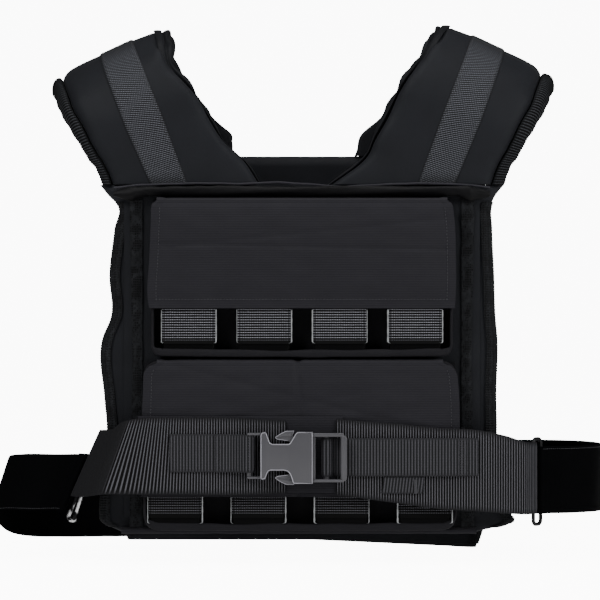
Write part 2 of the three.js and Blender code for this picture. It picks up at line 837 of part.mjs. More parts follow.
// Side bands: from the ring out round the side and in to the back cover.
// Share of the way out, share of the depth (in front, then behind) and how much of the ring's own height
// and lean the band keeps there
for (const [side, sign] of [['left', -1], ['right', 1]]) {
  const ring = ringLegs(side, sign);
  const sag = sign < 0 ? leftBandSag : 0;
  const radius = ringWire / 2 + gap + bandWall / 2;
  const { drop, height } = bandStart[side];
  const startTop = ring.like.top - drop;
  const start = foldRound(ring.outer, ring.heading + Math.PI, -sign, bandWall, ring.like, foldBack);
  const sections = start.reverse().map((s) => {
    const lean = s.lean / (s.top - s.foot);
    return { x: s.x + lean * drop, y: s.y, top: startTop, foot: startTop - height, lean: lean * height };
  });
  const backY = -coverY + gap + bandWall / 2;
  const bend = [
    [0.4, 0.84, 0.98],
    [0.78, 0.58, 0.95],
    [0.95, 0.27, 0.8],
    [1, 0, 0.5],
    [0.96, -0.35, 0.2],
    [0.8, -0.68, 0.05],
    [0.5, -0.92, 0],
  ];
  const [startX, startY] = [sign * ring.outer.x, ring.outer.y - radius];
  const backTopZ = startTop - sag;
  for (const [reach, depth, hold] of bend)
    sections.push({
      x: sign * lerp(startX, bandReach[side], reach),
      y: depth > 0 ? startY * depth : backY * -depth,
      top: lerp(backTopZ, startTop, hold),
      foot: lerp(backTopZ - bandHeight, startTop - height, hold),
      lean: sections.at(0).lean * hold,
    });
  for (const inset of [0, bandLap])
    sections.push({
      x: sign * (backHalfWidth - inset),
      y: backY,
      top: backTopZ,
      foot: backTopZ - bandHeight,
      lean: 0,
    });
  add('side_band_' + side, ribbon(sections, bandWall, 2), materials.band);
}

// Narrow straps and the buckle

const strapMiddleY = strapY - strapWall / 2;
const strapTop = beltZ + strapHeight / 2;
const strapFoot = beltZ - strapHeight / 2;

function flat(x, y = strapMiddleY, lift = 0) {
  return { x, y, top: strapTop + lift, foot: strapFoot + lift, lean: 0 };
}

const socketRight = buckleCentre + socketLength / 2 - socketShift;
const socketLeft = socketRight - socketLength;
const plugLeft = socketRight + gap;
const plugRight = plugLeft + plugLength;
const ladderX = plugLeft + ladderInset;
const upperLayerY = strapMiddleY - strapWall - gap;

// The left strap runs behind the socket's bar, forward round it and back out over itself
const barRight = socketLeft + socketBar;
const barFrontY = buckleY - socketBarDepth;
const reachRound = strapWall + gap;
const frontLayerY = barFrontY - reachRound / 2 - gap;
const leftStrap = [
  [-strapReach, strapMiddleY],
  [-strapReach * 0.7, strapMiddleY],
  [barRight, strapMiddleY],
  [barRight + reachRound, buckleY + gap],
  [barRight + reachRound + gap, (buckleY + barFrontY) / 2],
  [barRight + reachRound, barFrontY - gap],
  [barRight - gap, frontLayerY - gap],
  [socketLeft - gap, frontLayerY - gap],
  [socketLeft - 2 * socketBar, (frontLayerY + upperLayerY) / 2],
  [socketLeft - 4 * socketBar, upperLayerY],
  [-strapReach * 0.65, upperLayerY],
];
add(
  'strap_left',
  ribbon(leftStrap.map(([x, y]) => flat(x, y, leftStrapLift)), strapWall),
  materials.webbing,
);

// The right strap runs under the plug, up and over its ladder bar and back out between bar and strap
const wrapRadius = barRadius + gap + strapWall / 2;
const ladderY = strapMiddleY - wrapRadius;
const rightStrap = [flat(rightStrapReach), flat(rightStrapReach * 0.6), flat(plugRight), flat(ladderX)];
const wrapSteps = 9;
for (let i = 1; i <= wrapSteps; i++) {
  const turn = Math.PI / 2 + (1.25 * Math.PI * i) / wrapSteps;
  rightStrap.push(flat(ladderX + wrapRadius * Math.cos(turn), ladderY + wrapRadius * Math.sin(turn)));
}
for (const x of [
  ladderX + wrapRadius + 2 * strapWall,
  plugRight + 2 * strapWall,
  rightStrapReach / 2,
  rightStrapReach - upperLayerInset,
])
  rightStrap.push(flat(x, upperLayerY));
add('strap_right', ribbon(rightStrap, strapWall), materials.webbing);

const tailTop = strapFoot - gap;
const tailFoot = tailTop - tailHeight;
const tailMiddle = rightStrapReach - tailInset;
add(
  'strap_tail',
  ribbon(
    [-1, 0, 1].map((side) => ({
      x: tailMiddle + (side * tailWidth) / 2,
      y: strapMiddleY,
      top: tailTop,
      foot: tailFoot,
      lean: -tailLean,
    })),
    strapWall,
  ),
  materials.webbing,
);
const tagX = tailMiddle + tailWidth / 4;
const tagBackY = strapY - strapWall - gap;
add(
  'tail_tag',
  box(tagX, tagX + tagWidth, tagBackY - tagWall, tagBackY, tailFoot, tailTop - tagWidth),
  materials.band,
);

const buckleTop = beltZ + buckleHeight / 2;
const buckleFoot = beltZ - buckleHeight / 2;
const middleY = buckleY - socketDepth / 2;
const cavityHalf = buckleHeight / 2 - socketWall;
const notchLeft = socketLeft + socketLength / 2 - notchLength / 2 + notchShift;
const notchRight = notchLeft + notchLength;
const notchFloor = buckleHeight / 2 - notchDepth;
const through = [buckleY - 2 * socketDepth, buckleY + socketDepth];
const past = socketCorner;
const slotFoot = strapFoot - strapRoom;
const slotTop = strapTop + leftStrapLift + gap;
add(
  'buckle_socket',
  cut(
    plate(
      roundedRectangle(socketLeft, socketRight, buckleFoot, buckleTop, socketCorner),
      buckleY,
      socketDepth,
      socketEdge,
    ),
    [
      box(notchLeft, notchRight, ...through, beltZ + notchFloor, buckleTop + past),
      box(notchLeft, notchRight, ...through, buckleFoot - past, beltZ - notchFloor),
      box(
        notchLeft,
        socketRight + past,
        middleY - tineDepth / 2 - 2 * gap,
        middleY + tineDepth / 2 + 2 * gap,
        beltZ - cavityHalf,
        beltZ + cavityHalf,
      ),
      box(barRight, socketLeft + slotReach, ...through, slotFoot, slotTop),
      box(
        socketLeft - past,
        barRight + past / 2,
        buckleY - 2 * socketDepth,
        barFrontY,
        slotFoot,
        slotTop,
      ),
    ],
  ),
  materials.plastic,
);

const plugTop = buckleTop - 1;
const plugFoot = buckleFoot + 1;
const railHeight = (plugTop - plugFoot - strapHeight) / 2 - 1;
const plugFrontY = buckleY - socketDepth + plugSetback;
const underBarY = upperLayerY - strapWall / 2 - gap;
const tineLeft = notchLeft + tineInset;

// One sprung prong: from the plug's shoulder to its tip, with its grip standing in the notch
function tine(sign) {
  const shape = new THREE.Shape(
    [
      [plugLeft + plugSetback, tineInner],
      [plugLeft + plugSetback, cavityHalf - 2],
      [notchRight - gap, cavityHalf - 2],
      [notchRight - 2, buckleHeight / 2 - 1],
      [tineLeft + tineInner, cavityHalf + 1.5],
      [tineLeft, notchFloor - 2],
      [tineLeft, tineInner],
    ].map(([x, z]) => new THREE.Vector2(x, beltZ + sign * z)),
  );
  return plate(shape, middleY + tineDepth / 2, tineDepth);
}

const barLength = plugTop - plugFoot - 2 * railHeight + 2;
const bar = new THREE.CylinderGeometry(barRadius, barRadius, barLength, 10)
  .rotateX(Math.PI / 2)
  .translate(ladderX, ladderY, beltZ);
const guide = [beltZ - guideHeight / 2, beltZ + guideHeight / 2];
add(
  'buckle_plug',
  join([
    box(plugLeft, plugRight, plugFrontY, buckleY, plugTop - railHeight, plugTop),
    box(plugLeft, plugRight, plugFrontY, buckleY, plugFoot, plugFoot + railHeight),
    box(plugRight - plugBar, plugRight, plugFrontY, underBarY, plugFoot, plugTop),
    box(plugLeft, plugLeft + plugShoulder, plugFrontY, buckleY, plugFoot, plugTop),
    bar,
    box(tineLeft, plugLeft + 1, middleY - tineDepth / 2, middleY + tineDepth / 2, ...guide),
    tine(1),
    tine(-1),
  ]),
  materials.plastic,
);

// Back panel, plain
const backTop = backSeamZ - gap;
const backHeight = backTop - panelFoot + backLongerBelow;
// The foot hangs lower at the right corner
function cornerDrop(x, z) {
  const sideways = smooth(x, 0.35 * backHalfWidth, backHalfWidth);
  return backCornerDrop * sideways * smooth(backTop - z, 0.7 * backHeight, backHeight);
}
const backRows = [
  [0, 1.0, 1.0],
  [0.3, 1.0, 1.0],
  [0.7, 1.01, 1.01],
  [0.85, 1.015, 1.015],
  [0.96, 1.02, 1.02],
  [1, 0.99, 0.99],
];
add(
  'back_pad',
  panelPad(backRows, backHalfWidth, backTop, backHeight, (x, out, z) =>
    new THREE.Vector3(x, -hollowY + out, z - cornerDrop(x, z))),
  materials.mesh,
);
add(
  'back_cover',
  plate(
    roundedRectangle(
      backCoverMargin - backHalfWidth,
      backHalfWidth - backCoverMargin,
      backTop - backHeight + backCoverMargin,
      backTop - backCoverTopMargin,
      coverCorner,
    ),
    -coverY,
    coverWall,
    coverEdge,
  ),
  materials.nylon,
);

export default vest;
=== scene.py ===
"""Weighted vest: padded panels, iron blocks in webbing sleeves, cloth flaps and a buckled belt."""
import math

import bmesh
import bpy
import numpy as np
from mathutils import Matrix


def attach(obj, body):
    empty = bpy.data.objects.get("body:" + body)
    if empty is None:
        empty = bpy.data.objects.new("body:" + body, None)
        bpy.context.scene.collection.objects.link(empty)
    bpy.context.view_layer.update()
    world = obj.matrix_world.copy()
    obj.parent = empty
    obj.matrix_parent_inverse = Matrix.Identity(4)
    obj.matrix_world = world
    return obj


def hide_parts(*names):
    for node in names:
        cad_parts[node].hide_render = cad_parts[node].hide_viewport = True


bl_info = {
    "name": "Weighted vest",
    "version": (1, 0, 0),
    "blender": (4, 5, 0),
    "location": "3D View > Sidebar > Vest",
    "description": "Makes a padded vest with iron blocks, flaps, a belt and a buckle",
    "category": "Add Mesh",
}

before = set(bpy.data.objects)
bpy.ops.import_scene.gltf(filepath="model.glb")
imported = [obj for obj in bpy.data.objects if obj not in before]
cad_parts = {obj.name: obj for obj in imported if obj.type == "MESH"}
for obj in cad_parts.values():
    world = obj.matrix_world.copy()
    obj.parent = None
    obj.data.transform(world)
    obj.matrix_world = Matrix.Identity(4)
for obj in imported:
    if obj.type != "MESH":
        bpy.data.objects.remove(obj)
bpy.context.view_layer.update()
MM = 0.001

# Layers and clearances, in millimetres
GAP = 0.3
HOLLOW_Y = -55.0
PAD_THICKNESS = 18.0
PAD_Y = HOLLOW_Y - PAD_THICKNESS
COVER_WALL = 2.5
COVER_Y = PAD_Y - GAP - COVER_WALL
POCKET_BACK_Y = COVER_Y - GAP
BLOCK_WIDTH, BLOCK_DEPTH, BLOCK_HEIGHT = 52.0, 20.0, 130.0
SLEEVE_WALL = 1.5
SLEEVE_HEIGHT, SLEEVE_LIFT = 76.0, 8.0
POCKET_WALL = 2.5
POCKET_DEPTH = POCKET_WALL + BLOCK_DEPTH + 2 * (GAP + SLEEVE_WALL) + 2 * GAP
POCKET_FRONT_Y = POCKET_BACK_Y - POCKET_DEPTH
FLAP_WALL, FLAP_BULGE = 2.5, 3.0
FLAP_Y = POCKET_FRONT_Y - GAP
UNDERLAY_WALL, BELT_WALL, STRAP_WALL = 2.0, 1.8, 1.6
UNDERLAY_Y = FLAP_Y - FLAP_WALL - FLAP_BULGE - GAP
BELT_Y = UNDERLAY_Y - UNDERLAY_WALL - GAP
STRAP_Y = BELT_Y - BELT_WALL - GAP
BUCKLE_Y = STRAP_Y - STRAP_WALL - GAP

# Heights
LINING_WALL, PAD_FOAM = 6.0, 15.0
UNDERSIDE = LINING_WALL + GAP + PAD_FOAM
ARCH_RADIUS = 55.0 + UNDERSIDE
SHOULDER_RISE, RIGHT_PAD_LIFT = 45.0, 5.0
LOWEST_CREST = UNDERSIDE - (SHOULDER_RISE + RIGHT_PAD_LIFT) / 2
SEAM_Z = LOWEST_CREST - ARCH_RADIUS - 42.0
BACK_SEAM_Z = LOWEST_CREST - ARCH_RADIUS - 7.0
PANEL_HEIGHT, PANEL_HALF = 352.0, 196.0
PANEL_FOOT = SEAM_Z - GAP - PANEL_HEIGHT
FRONT_COVER_HALF, FRONT_COVER_HEIGHT = 180.0, 336.0
BACK_HALF, BACK_COVER_INSET = 186.0, 8.0
YOKE_TOP = SEAM_Z - 1.5
UPPER_TOP = YOKE_TOP - 11.0 - 2 * GAP - FLAP_WALL
UPPER_FOOT = UPPER_TOP - 156.0
LOWER_TOP = UPPER_FOOT - 4.0 - FLAP_WALL - GAP
LOWER_FOOT = LOWER_TOP - 168.0
POCKET_HALF = 153.0
LOWER_LEFT, LOWER_RIGHT = -POCKET_HALF - 8.0, POCKET_HALF + 4.0
STRIP_WIDTH = 13.0
BELT_Z = SEAM_Z - 274.0
BELT_HEIGHT = 76.0
BELT_TOP, BELT_FOOT = BELT_Z + BELT_HEIGHT / 2, BELT_Z - BELT_HEIGHT / 2

SIDES = (("left", -1.0), ("right", 1.0))

# Pitch and height of the ribs on the narrow straps, and height of those on sleeves and bindings, in metres
STRAP_RIB = (0.0031, 0.0003)
COARSE_RIB = 0.0006
# Strength of the studio's white as the picture shows it
SEEN_WHITE = 10.5


def length_property(name, text, default, low):
    return bpy.props.FloatProperty(name=name, description=text, default=default, min=low, unit="LENGTH")


def colour_property(name, text, default):
    return bpy.props.FloatVectorProperty(
        name=name, description=text, subtype="COLOR", size=3, min=0, max=1, default=default)


class VestSizes(bpy.types.PropertyGroup):
    """Sizes of the vest's finer parts"""

    rib_pitch: length_property(
        "Belt rib pitch", "Distance between the ribs of the wide webbing", 0.0027, 0.001)
    rib_height: length_property("Rib height", "How far a rib of webbing stands out", 0.00045, 0.0)
    sleeve_pitch: length_property(
        "Sleeve rib pitch", "Distance between the ribs of the sleeves", 0.00255, 0.001)
    binding_pitch: length_property(
        "Binding rib pitch", "Distance between the ribs of the edge binding", 0.0026, 0.001)
    stitch_pitch: length_property("Stitch pitch", "Distance between two stitches", 0.0032, 0.001)
    stitch_thickness: length_property("Stitch thickness", "Thickness of the sewing thread", 0.0007, 0.0002)
    pad_crown: length_property("Pad crown", "How far the face of a shoulder pad swells", 0.003, 0.0)


class VestColours(bpy.types.PropertyGroup):
    """Colours of the vest's materials"""

    cloth: colour_property("Cloth", "Nylon of the flaps and compartments", (0.0152, 0.0147, 0.0182))
    pad_cloth: colour_property("Pad cloth", "Nylon of the shoulder pads", (0.0105, 0.0112, 0.0138))
    webbing: colour_property(
        "Webbing", "Ribbed webbing of the belt, straps and sleeves", (0.016, 0.016, 0.018))
    twill: colour_property("Twill", "Twill tape on the shoulder pads", (0.033, 0.0345, 0.040))
    band: colour_property("Side band", "Smooth side bands", (0.0012, 0.0013, 0.0016))
    mesh: colour_property("Spacer mesh", "Mesh on the edges and strips", (0.0068, 0.0072, 0.0082))
    iron: colour_property("Iron coating", "Gloss coating of the iron blocks", (0.0016, 0.0016, 0.0018))
    plastic: colour_property("Buckle plastic", "Satin plastic of the buckle", (0.066, 0.065, 0.073))
    thread: colour_property("Thread", "Sewing thread", (0.045, 0.045, 0.050))
    backdrop: colour_property("Backdrop", "Floor of the studio", (0.92, 0.92, 0.91))


def sizes():
    return bpy.context.scene.vest_sizes


def colours():
    return bpy.context.scene.vest_colours


# Numbers and curves

def mix(a, b, share):
    return a + (b - a) * share


def ease(value, low, high):
    """A soft step from 0 at low to 1 at high, which may be the smaller one."""
    t = np.clip((value - low) / (high - low), 0, 1)
    return t * t * (3 - 2 * t)


def curve_value(places, values, at):
    """A smooth curve through values at rising places."""
    places, values, at = (np.asarray(x, float) for x in (places, values, at))
    slopes = np.gradient(values, places)
    i = np.clip(np.searchsorted(places, at, side="right") - 1, 0, len(places) - 2)
    span = places[i + 1] - places[i]
    t = np.clip((at - places[i]) / span, 0, 1)
    t2, t3 = t * t, t * t * t
    return (
        (2 * t3 - 3 * t2 + 1) * values[i]
        + (t3 - 2 * t2 + t) * span * slopes[i]
        + (3 * t2 - 2 * t3) * values[i + 1]
        + (t3 - t2) * span * slopes[i + 1]
    )


def column(table, number):
    return [row[number] for row in table]


def ripple(a, b, scale, seed, waves=8):
    """A smooth uneven relief between about -1 and 1."""
    rng = np.random.default_rng(seed)
    total = 0
    for _ in range(waves):
        turn, rate = rng.uniform(0, 2 * math.pi), rng.uniform(0.5, 1.6) * 2 * math.pi / scale
        total = total + np.sin(rate * (a * math.cos(turn) + b * math.sin(turn)) + rng.uniform(0, 7))
    return total / math.sqrt(waves)


def shares(columns, rows):
    return np.meshgrid(np.linspace(0, 1, columns + 1), np.linspace(0, 1, rows + 1))


def stack(x, y, z):
    return np.stack(np.broadcast_arrays(x, y, z), -1).astype(float)


def soften(section, times=2):
    """Cuts the corners of closed sections, given as rows of points."""
    for _ in range(times):
        following = np.roll(section, -1, axis=-2)
        near, far = 0.75 * section + 0.25 * following, 0.25 * section + 0.75 * following
        section = np.stack([near, far], -2).reshape(*section.shape[:-2], -1, section.shape[-1])
    return section


def run_length(points, axis):
    """Length in metres along one axis of a grid of points, from its middle line."""
    lines = points if axis == 0 else np.swapaxes(points, 0, 1)
    middle = lines[:, lines.shape[1] // 2]
    steps = np.linalg.norm(np.diff(middle, axis=0), axis=1)
    run = np.concatenate([[0], np.cumsum(steps)]) * MM
    grid = np.repeat(run[:, None], lines.shape[1], 1)
    return grid if axis == 0 else grid.T


# Meshes

def grid_corners(grid):
    """The four corners of every cell of a grid."""
    return np.stack([grid[:-1, :-1], grid[:-1, 1:], grid[1:, 1:], grid[1:, :-1]], 2)


def grid_border(grid):
    """The values once round the border of a grid."""
    return np.concatenate([grid[0, :-1], grid[:-1, -1], grid[-1, :0:-1], grid[:0:-1, 0]])


class Shell:
    """The points and faces of one piece, in millimetres."""

    def __init__(self):
        self.points, self.faces, self.uvs, self.extra, self.count = [], [], [], [], 0

    def grid(self, points, uv=None, closed=False, ribbed=None, run=None, flip=False):
        rows, columns = points.shape[:2]
        if uv is None:
            uv = np.stack([run_length(points, 1), run_length(points, 0)], -1)
        index = self.count + np.arange(rows * columns).reshape(rows, columns)
        self.points.append(points.reshape(-1, 3))
        flat = np.zeros((rows, columns)) if ribbed is None else np.broadcast_to(ribbed, (rows, columns))
        along = uv[..., 1] if run is None else np.broadcast_to(run, (rows, columns))
        self.extra.append(np.stack([along, flat], -1).reshape(-1, 2))
        self.count += rows * columns
        wide, wide_uv = index, uv
        if closed:
            wide = np.hstack([index, index[:, :1]])
            step = uv[:, -1:] + (uv[:, 1:2] - uv[:, :1])
            wide_uv = np.hstack([uv, step])
        quads = grid_corners(wide).reshape(-1, 4)
        quad_uv = grid_corners(wide_uv).reshape(-1, 4, 2)
        if flip:
            quads, quad_uv = quads[:, ::-1], quad_uv[:, ::-1]
        self.faces.extend(quads.tolist())
        self.uvs.append(quad_uv.reshape(-1, 2))
        return index

    def face(self, indices):
        self.faces.append(list(indices))
        self.uvs.append(np.zeros((len(indices), 2)))

    def slab(self, front, back, uv=None, ribbed=None, run=None):
        """A closed sheet between two grids."""
        if uv is None:
            uv = np.stack([run_length(front, 1), run_length(front, 0)], -1)
        a = self.grid(front, uv, ribbed=ribbed, run=run)
        b = self.grid(back, uv, ribbed=ribbed, run=run, flip=True)
        outer, inner = grid_border(a), grid_border(b)
        rim_uv = np.stack([grid_border(uv[..., k]) for k in (0, 1)], -1)
        following, next_uv = np.roll(outer, -1), np.roll(rim_uv, -1, axis=0)
        quads = np.stack([following, outer, inner, np.roll(inner, -1)], 1)
        self.faces.extend(quads.tolist())
        self.uvs.append(np.stack([next_uv, rim_uv, rim_uv, next_uv], 1).reshape(-1, 2))

    def tube(self, loops, uv=None, ribbed=None, run=None, ends=True):
        """A closed solid through loops of equal point count."""
        index = self.grid(loops, uv, closed=True, ribbed=ribbed, run=run)
        if ends:
            self.face(index[0][::-1])
            self.face(index[-1])

    def ring(self, loops, uv=None):
        """A tube that comes back to its own start."""
        around = np.concatenate([loops, loops[:1]])
        if uv is None:
            uv = np.stack([run_length(around, 1), run_length(around, 0)], -1)
        index = self.grid(around, uv, closed=True)
        last, first = index[-1], index[0]
        swap = dict(zip(last.tolist(), first.tolist()))
        self.faces = [[swap.get(i, i) for i in face] for face in self.faces]

    def object(self, name, material, sharp=40):
        points = np.concatenate(self.points) * MM
        mesh = bpy.data.meshes.new(name)
        mesh.from_pydata(points.tolist(), [], self.faces)
        layer = mesh.uv_layers.new(name="UVMap")
        layer.data.foreach_set("uv", np.concatenate(self.uvs).astype(np.float32).ravel())
        extra = np.concatenate(self.extra).astype(np.float32)
        for k, key in enumerate(("run", "ribbed")):
            attribute = mesh.attributes.new(key, "FLOAT", "POINT")
            attribute.data.foreach_set("value", np.ascontiguousarray(extra[:, k]))
        mesh.materials.append(material)
        tidy_mesh(mesh)
        piece = bpy.data.objects.new(name, mesh)
        bpy.context.scene.collection.objects.link(piece)
        mesh.polygons.foreach_set("use_smooth", [True] * len(mesh.polygons))
        mesh.set_sharp_from_angle(angle=math.radians(sharp))
        return piece


def tidy_mesh(mesh):
    """Merges doubles, drops loose points and turns each closed shell outwards."""
    bm = bmesh.new()
    bm.from_mesh(mesh)
    bmesh.ops.remove_doubles(bm, verts=bm.verts, dist=1e-6)
    bmesh.ops.delete(bm, geom=[v for v in bm.verts if not v.link_faces], context="VERTS")
    if bm.calc_volume(signed=True) < 0:
        bmesh.ops.reverse_faces(bm, faces=bm.faces)
    bm.to_mesh(mesh)
    bm.free()


def bake_modifiers(piece):
    """Turns the evaluated piece into a plain mesh."""
    graph = bpy.context.evaluated_depsgraph_get()
    mesh = bpy.data.meshes.new_from_object(piece.evaluated_get(graph), preserve_all_data_layers=True,
                                           depsgraph=graph)
    old = piece.data
    piece.modifiers.clear()
    piece.data = mesh
    mesh.name = piece.name
    bpy.data.meshes.remove(old)
    return piece


def outline_solid(name, outline, back, front, material, bevel=1.0, segments=3, sharp=35):
    """A plate with its outline in X and Z, from one depth to another, with rounded edges."""
    shell = Shell()
    points = np.asarray(outline, float)
    rows = [stack(points[:, 0], y, points[:, 1]) for y in (back, front)]
    shell.tube(np.stack(rows))
    piece = shell.object(name, material, sharp)
    if bevel:
        modifier = piece.modifiers.new("Bevel", "BEVEL")
        modifier.width = bevel * MM
        modifier.segments = segments
        modifier.limit_method = "ANGLE"
        modifier.angle_limit = math.radians(30)
        bake_modifiers(piece)
    return piece


def joined(name, pieces):
    """One object from several, as one mesh."""
    bm = bmesh.new()
    for piece in pieces:
        bm.from_mesh(piece.data)
    mesh = bpy.data.meshes.new(name)
    mesh.materials.append(pieces[0].data.materials[0])
    bm.to_mesh(mesh)
    bm.free()
    for piece in pieces:
        bpy.data.objects.remove(piece)
    whole = bpy.data.objects.new(name, mesh)
    bpy.context.scene.collection.objects.link(whole)
    mesh.set_sharp_from_angle(angle=math.radians(35))
    return whole


def rounded_box(x0, x1, z0, z1, radius, steps=5):
    """The outline of a rectangle with round corners, as a list of (x, z)."""
    radius = min(radius, (x1 - x0) / 2, (z1 - z0) / 2)
    points = []
    for cx, cz, start in (
        (x1 - radius, z0 + radius, -90), (x1 - radius, z1 - radius, 0),
        (x0 + radius, z1 - radius, 90), (x0 + radius, z0 + radius, 180),
    ):
        for i in range(steps + 1):
            turn = math.radians(start + 90 * i / steps)
            points.append((cx + radius * math.cos(turn), cz + radius * math.sin(turn)))
    return points


# Geometry Nodes

def node_tree(name, sockets):
    tree = bpy.data.node_groups.new(name, "GeometryNodeTree")
    tree.interface.new_socket("Geometry", in_out="INPUT", socket_type="NodeSocketGeometry")
    for label, kind, default in sockets:
        socket = tree.interface.new_socket(label, in_out="INPUT", socket_type="NodeSocket" + kind)
        if default is not None:
            socket.default_value = default
    tree.interface.new_socket("Geometry", in_out="OUTPUT", socket_type="NodeSocketGeometry")
    return tree, tree.nodes.new("NodeGroupInput"), tree.nodes.new("NodeGroupOutput")


def node(tree, kind, links=None, **settings):
    made = tree.nodes.new(kind)
    for key, value in settings.items():
        setattr(made, key, value)
    for key, value in (links or {}).items():
        if isinstance(value, bpy.types.NodeSocket):
            tree.links.new(value, made.inputs[key])
        else:
            made.inputs[key].default_value = value
    return made


def sum_of(tree, operation, *values):
    """One Math node: numbers or sockets in, its output socket out."""
    return node(tree, "ShaderNodeMath", dict(enumerate(values)), operation=operation).outputs[0]


def rib_tree():
    """Raises ribs across a webbing where its "ribbed" attribute says so."""
    tree, given, out = node_tree("Webbing ribs", [
        ("Pitch", "Float", 0.0027), ("Height", "Float", 0.0004), ("Material", "Material", None)])
    run = node(tree, "GeometryNodeInputNamedAttribute", {"Name": "run"}, data_type="FLOAT").outputs[0]
    mask = node(tree, "GeometryNodeInputNamedAttribute", {"Name": "ribbed"}, data_type="FLOAT").outputs[0]
    phase = sum_of(tree, "MULTIPLY", sum_of(tree, "DIVIDE", run, given.outputs["Pitch"]), 2 * math.pi)
    wave = sum_of(tree, "MULTIPLY_ADD", sum_of(tree, "COSINE", phase), 0.5, 0.5)
    rise = sum_of(tree, "MULTIPLY", sum_of(tree, "POWER", wave, 0.8), given.outputs["Height"])
    rise = sum_of(tree, "MULTIPLY", rise, mask)
    normal = node(tree, "GeometryNodeInputNormal").outputs[0]
    offset = node(tree, "ShaderNodeVectorMath", {0: normal, "Scale": rise}, operation="SCALE").outputs[0]
    moved = node(tree, "GeometryNodeSetPosition", {"Geometry": given.outputs["Geometry"], "Offset": offset})
    real = node(tree, "GeometryNodeRealizeInstances", {"Geometry": moved.outputs[0]})
    last = node(tree, "GeometryNodeSetMaterial",
                {"Geometry": real.outputs[0], "Material": given.outputs["Material"]})
    tree.links.new(last.outputs[0], out.inputs[0])
    return tree


def stitch_tree():
    """Puts a stitch at every step along lines of edges."""
    tree, given, out = node_tree("Stitches", [
        ("Pitch", "Float", 0.003), ("Thickness", "Float", 0.0007), ("Material", "Material", None)])
    curve = node(tree, "GeometryNodeMeshToCurve", {"Mesh": given.outputs["Geometry"]})
    dots = node(tree, "GeometryNodeResampleCurve", {"Curve": curve.outputs[0]})
    dots.mode = "LENGTH"
    tree.links.new(given.outputs["Pitch"], dots.inputs["Length"])
    bead = node(tree, "GeometryNodeMeshUVSphere", {"Segments": 6, "Rings": 4, "Radius": 0.5})
    tangent = node(tree, "GeometryNodeInputTangent").outputs[0]
    turn = node(tree, "FunctionNodeAlignEulerToVector", {"Vector": tangent}, axis="X").outputs[0]
    length = sum_of(tree, "MULTIPLY", given.outputs["Pitch"], 0.72)
    scale = node(tree, "ShaderNodeCombineXYZ", {
        "X": length, "Y": given.outputs["Thickness"], "Z": given.outputs["Thickness"]}).outputs[0]
    placed = node(tree, "GeometryNodeInstanceOnPoints", {
        "Points": dots.outputs[0], "Instance": bead.outputs[0], "Rotation": turn, "Scale": scale})
    real = node(tree, "GeometryNodeRealizeInstances", {"Geometry": placed.outputs[0]})
    smooth = node(tree, "GeometryNodeSetShadeSmooth", {"Geometry": real.outputs[0]})
    last = node(tree, "GeometryNodeSetMaterial",
                {"Geometry": smooth.outputs[0], "Material": given.outputs["Material"]})
    tree.links.new(last.outputs[0], out.inputs[0])
    return tree


TREES = {}


def grown(piece, make, **inputs):
    """Runs a node tree on a piece and keeps the result as its mesh."""
    if make not in TREES:
        TREES[make] = make()
    modifier = piece.modifiers.new("Nodes", "NODES")
    modifier.node_group = TREES[make]
    named = {item.name: item.identifier for item in TREES[make].interface.items_tree
             if item.in_out == "INPUT"}
    for label, value in inputs.items():
        modifier[named[label.capitalize()]] = value
    return bake_modifiers(piece)


def ribs(piece, pitch, height):
    return grown(piece, rib_tree, pitch=pitch, height=height, material=piece.data.materials[0])


def stitches(name, lines, host_slot="nylon", pitch=None):
    """Stitches along lines of points in millimetres."""
    points, edges = [], []
    for line in lines:
        start = len(points)
        points.extend(np.asarray(line, float) * MM)
        edges.extend((start + i, start + i + 1) for i in range(len(line) - 1))
    mesh = bpy.data.meshes.new(name)
    mesh.from_pydata([tuple(p) for p in points], edges, [])
    piece = bpy.data.objects.new(name, mesh)
    bpy.context.scene.collection.objects.link(piece)
    thread = finish("thread")
    grown(piece, stitch_tree, pitch=pitch or sizes().stitch_pitch,
          thickness=sizes().stitch_thickness, material=thread)
    piece.data.materials.clear()
    piece.data.materials.append(thread)
    keep(piece, host_slot)
    return piece


def keep(piece, material_slot, *nodes):
    """The piece rides on the vest, takes a slot's finish and stands for its nodes."""
    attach(piece, "root")
    if nodes:
        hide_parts(*nodes)
    return piece


def solid_piece(name, look, loops, material_slot, *nodes):
    """A closed piece through loops, kept on the vest."""
    shell = Shell()
    shell.tube(np.stack(loops))
    return keep(shell.object(name, finish(look)), material_slot, *nodes)


def sheet_piece(name, look, front, back, material_slot, *nodes):
    """A piece between a front and a back grid, kept on the vest."""
    shell = Shell()
    shell.slab(front, back)
    return keep(shell.object(name, finish(look)), material_slot, *nodes)


# Materials

def new_material(name, colour, roughness, **constants):
    material = bpy.data.materials.new(name)
    material.use_nodes = True
    tree = material.node_tree
    shader = tree.nodes["Principled BSDF"]
    shader.inputs["Base Color"].default_value = (*colour, 1)
    shader.inputs["Roughness"].default_value = roughness
    for key, value in constants.items():
        shader.inputs[key.replace("_", " ")].default_value = value
    return material, tree, shader


def shade_range(tree, shader, factor, dark, light, rough=None):
    """Colour, and roughness if given, from one factor."""
    ramp = node(tree, "ShaderNodeMix", {"Factor": factor, 6: (*dark, 1), 7: (*light, 1)},
                data_type="RGBA")
    tree.links.new(ramp.outputs[2], shader.inputs["Base Color"])
    if rough:
        spread = node(tree, "ShaderNodeMapRange", {"Value": factor, "To Min": rough[0], "To Max": rough[1]})
        tree.links.new(spread.outputs[0], shader.inputs["Roughness"])


def relief(tree, shader, height, strength, distance):
    bump = node(tree, "ShaderNodeBump", {"Height": height, "Strength": strength, "Distance": distance})
    tree.links.new(bump.outputs[0], shader.inputs["Normal"])


def coordinates(tree, source, scale=(1, 1, 1)):
    where = node(tree, "ShaderNodeTexCoord").outputs[source]
    return node(tree, "ShaderNodeMapping", {"Vector": where, "Scale": scale}).outputs[0]


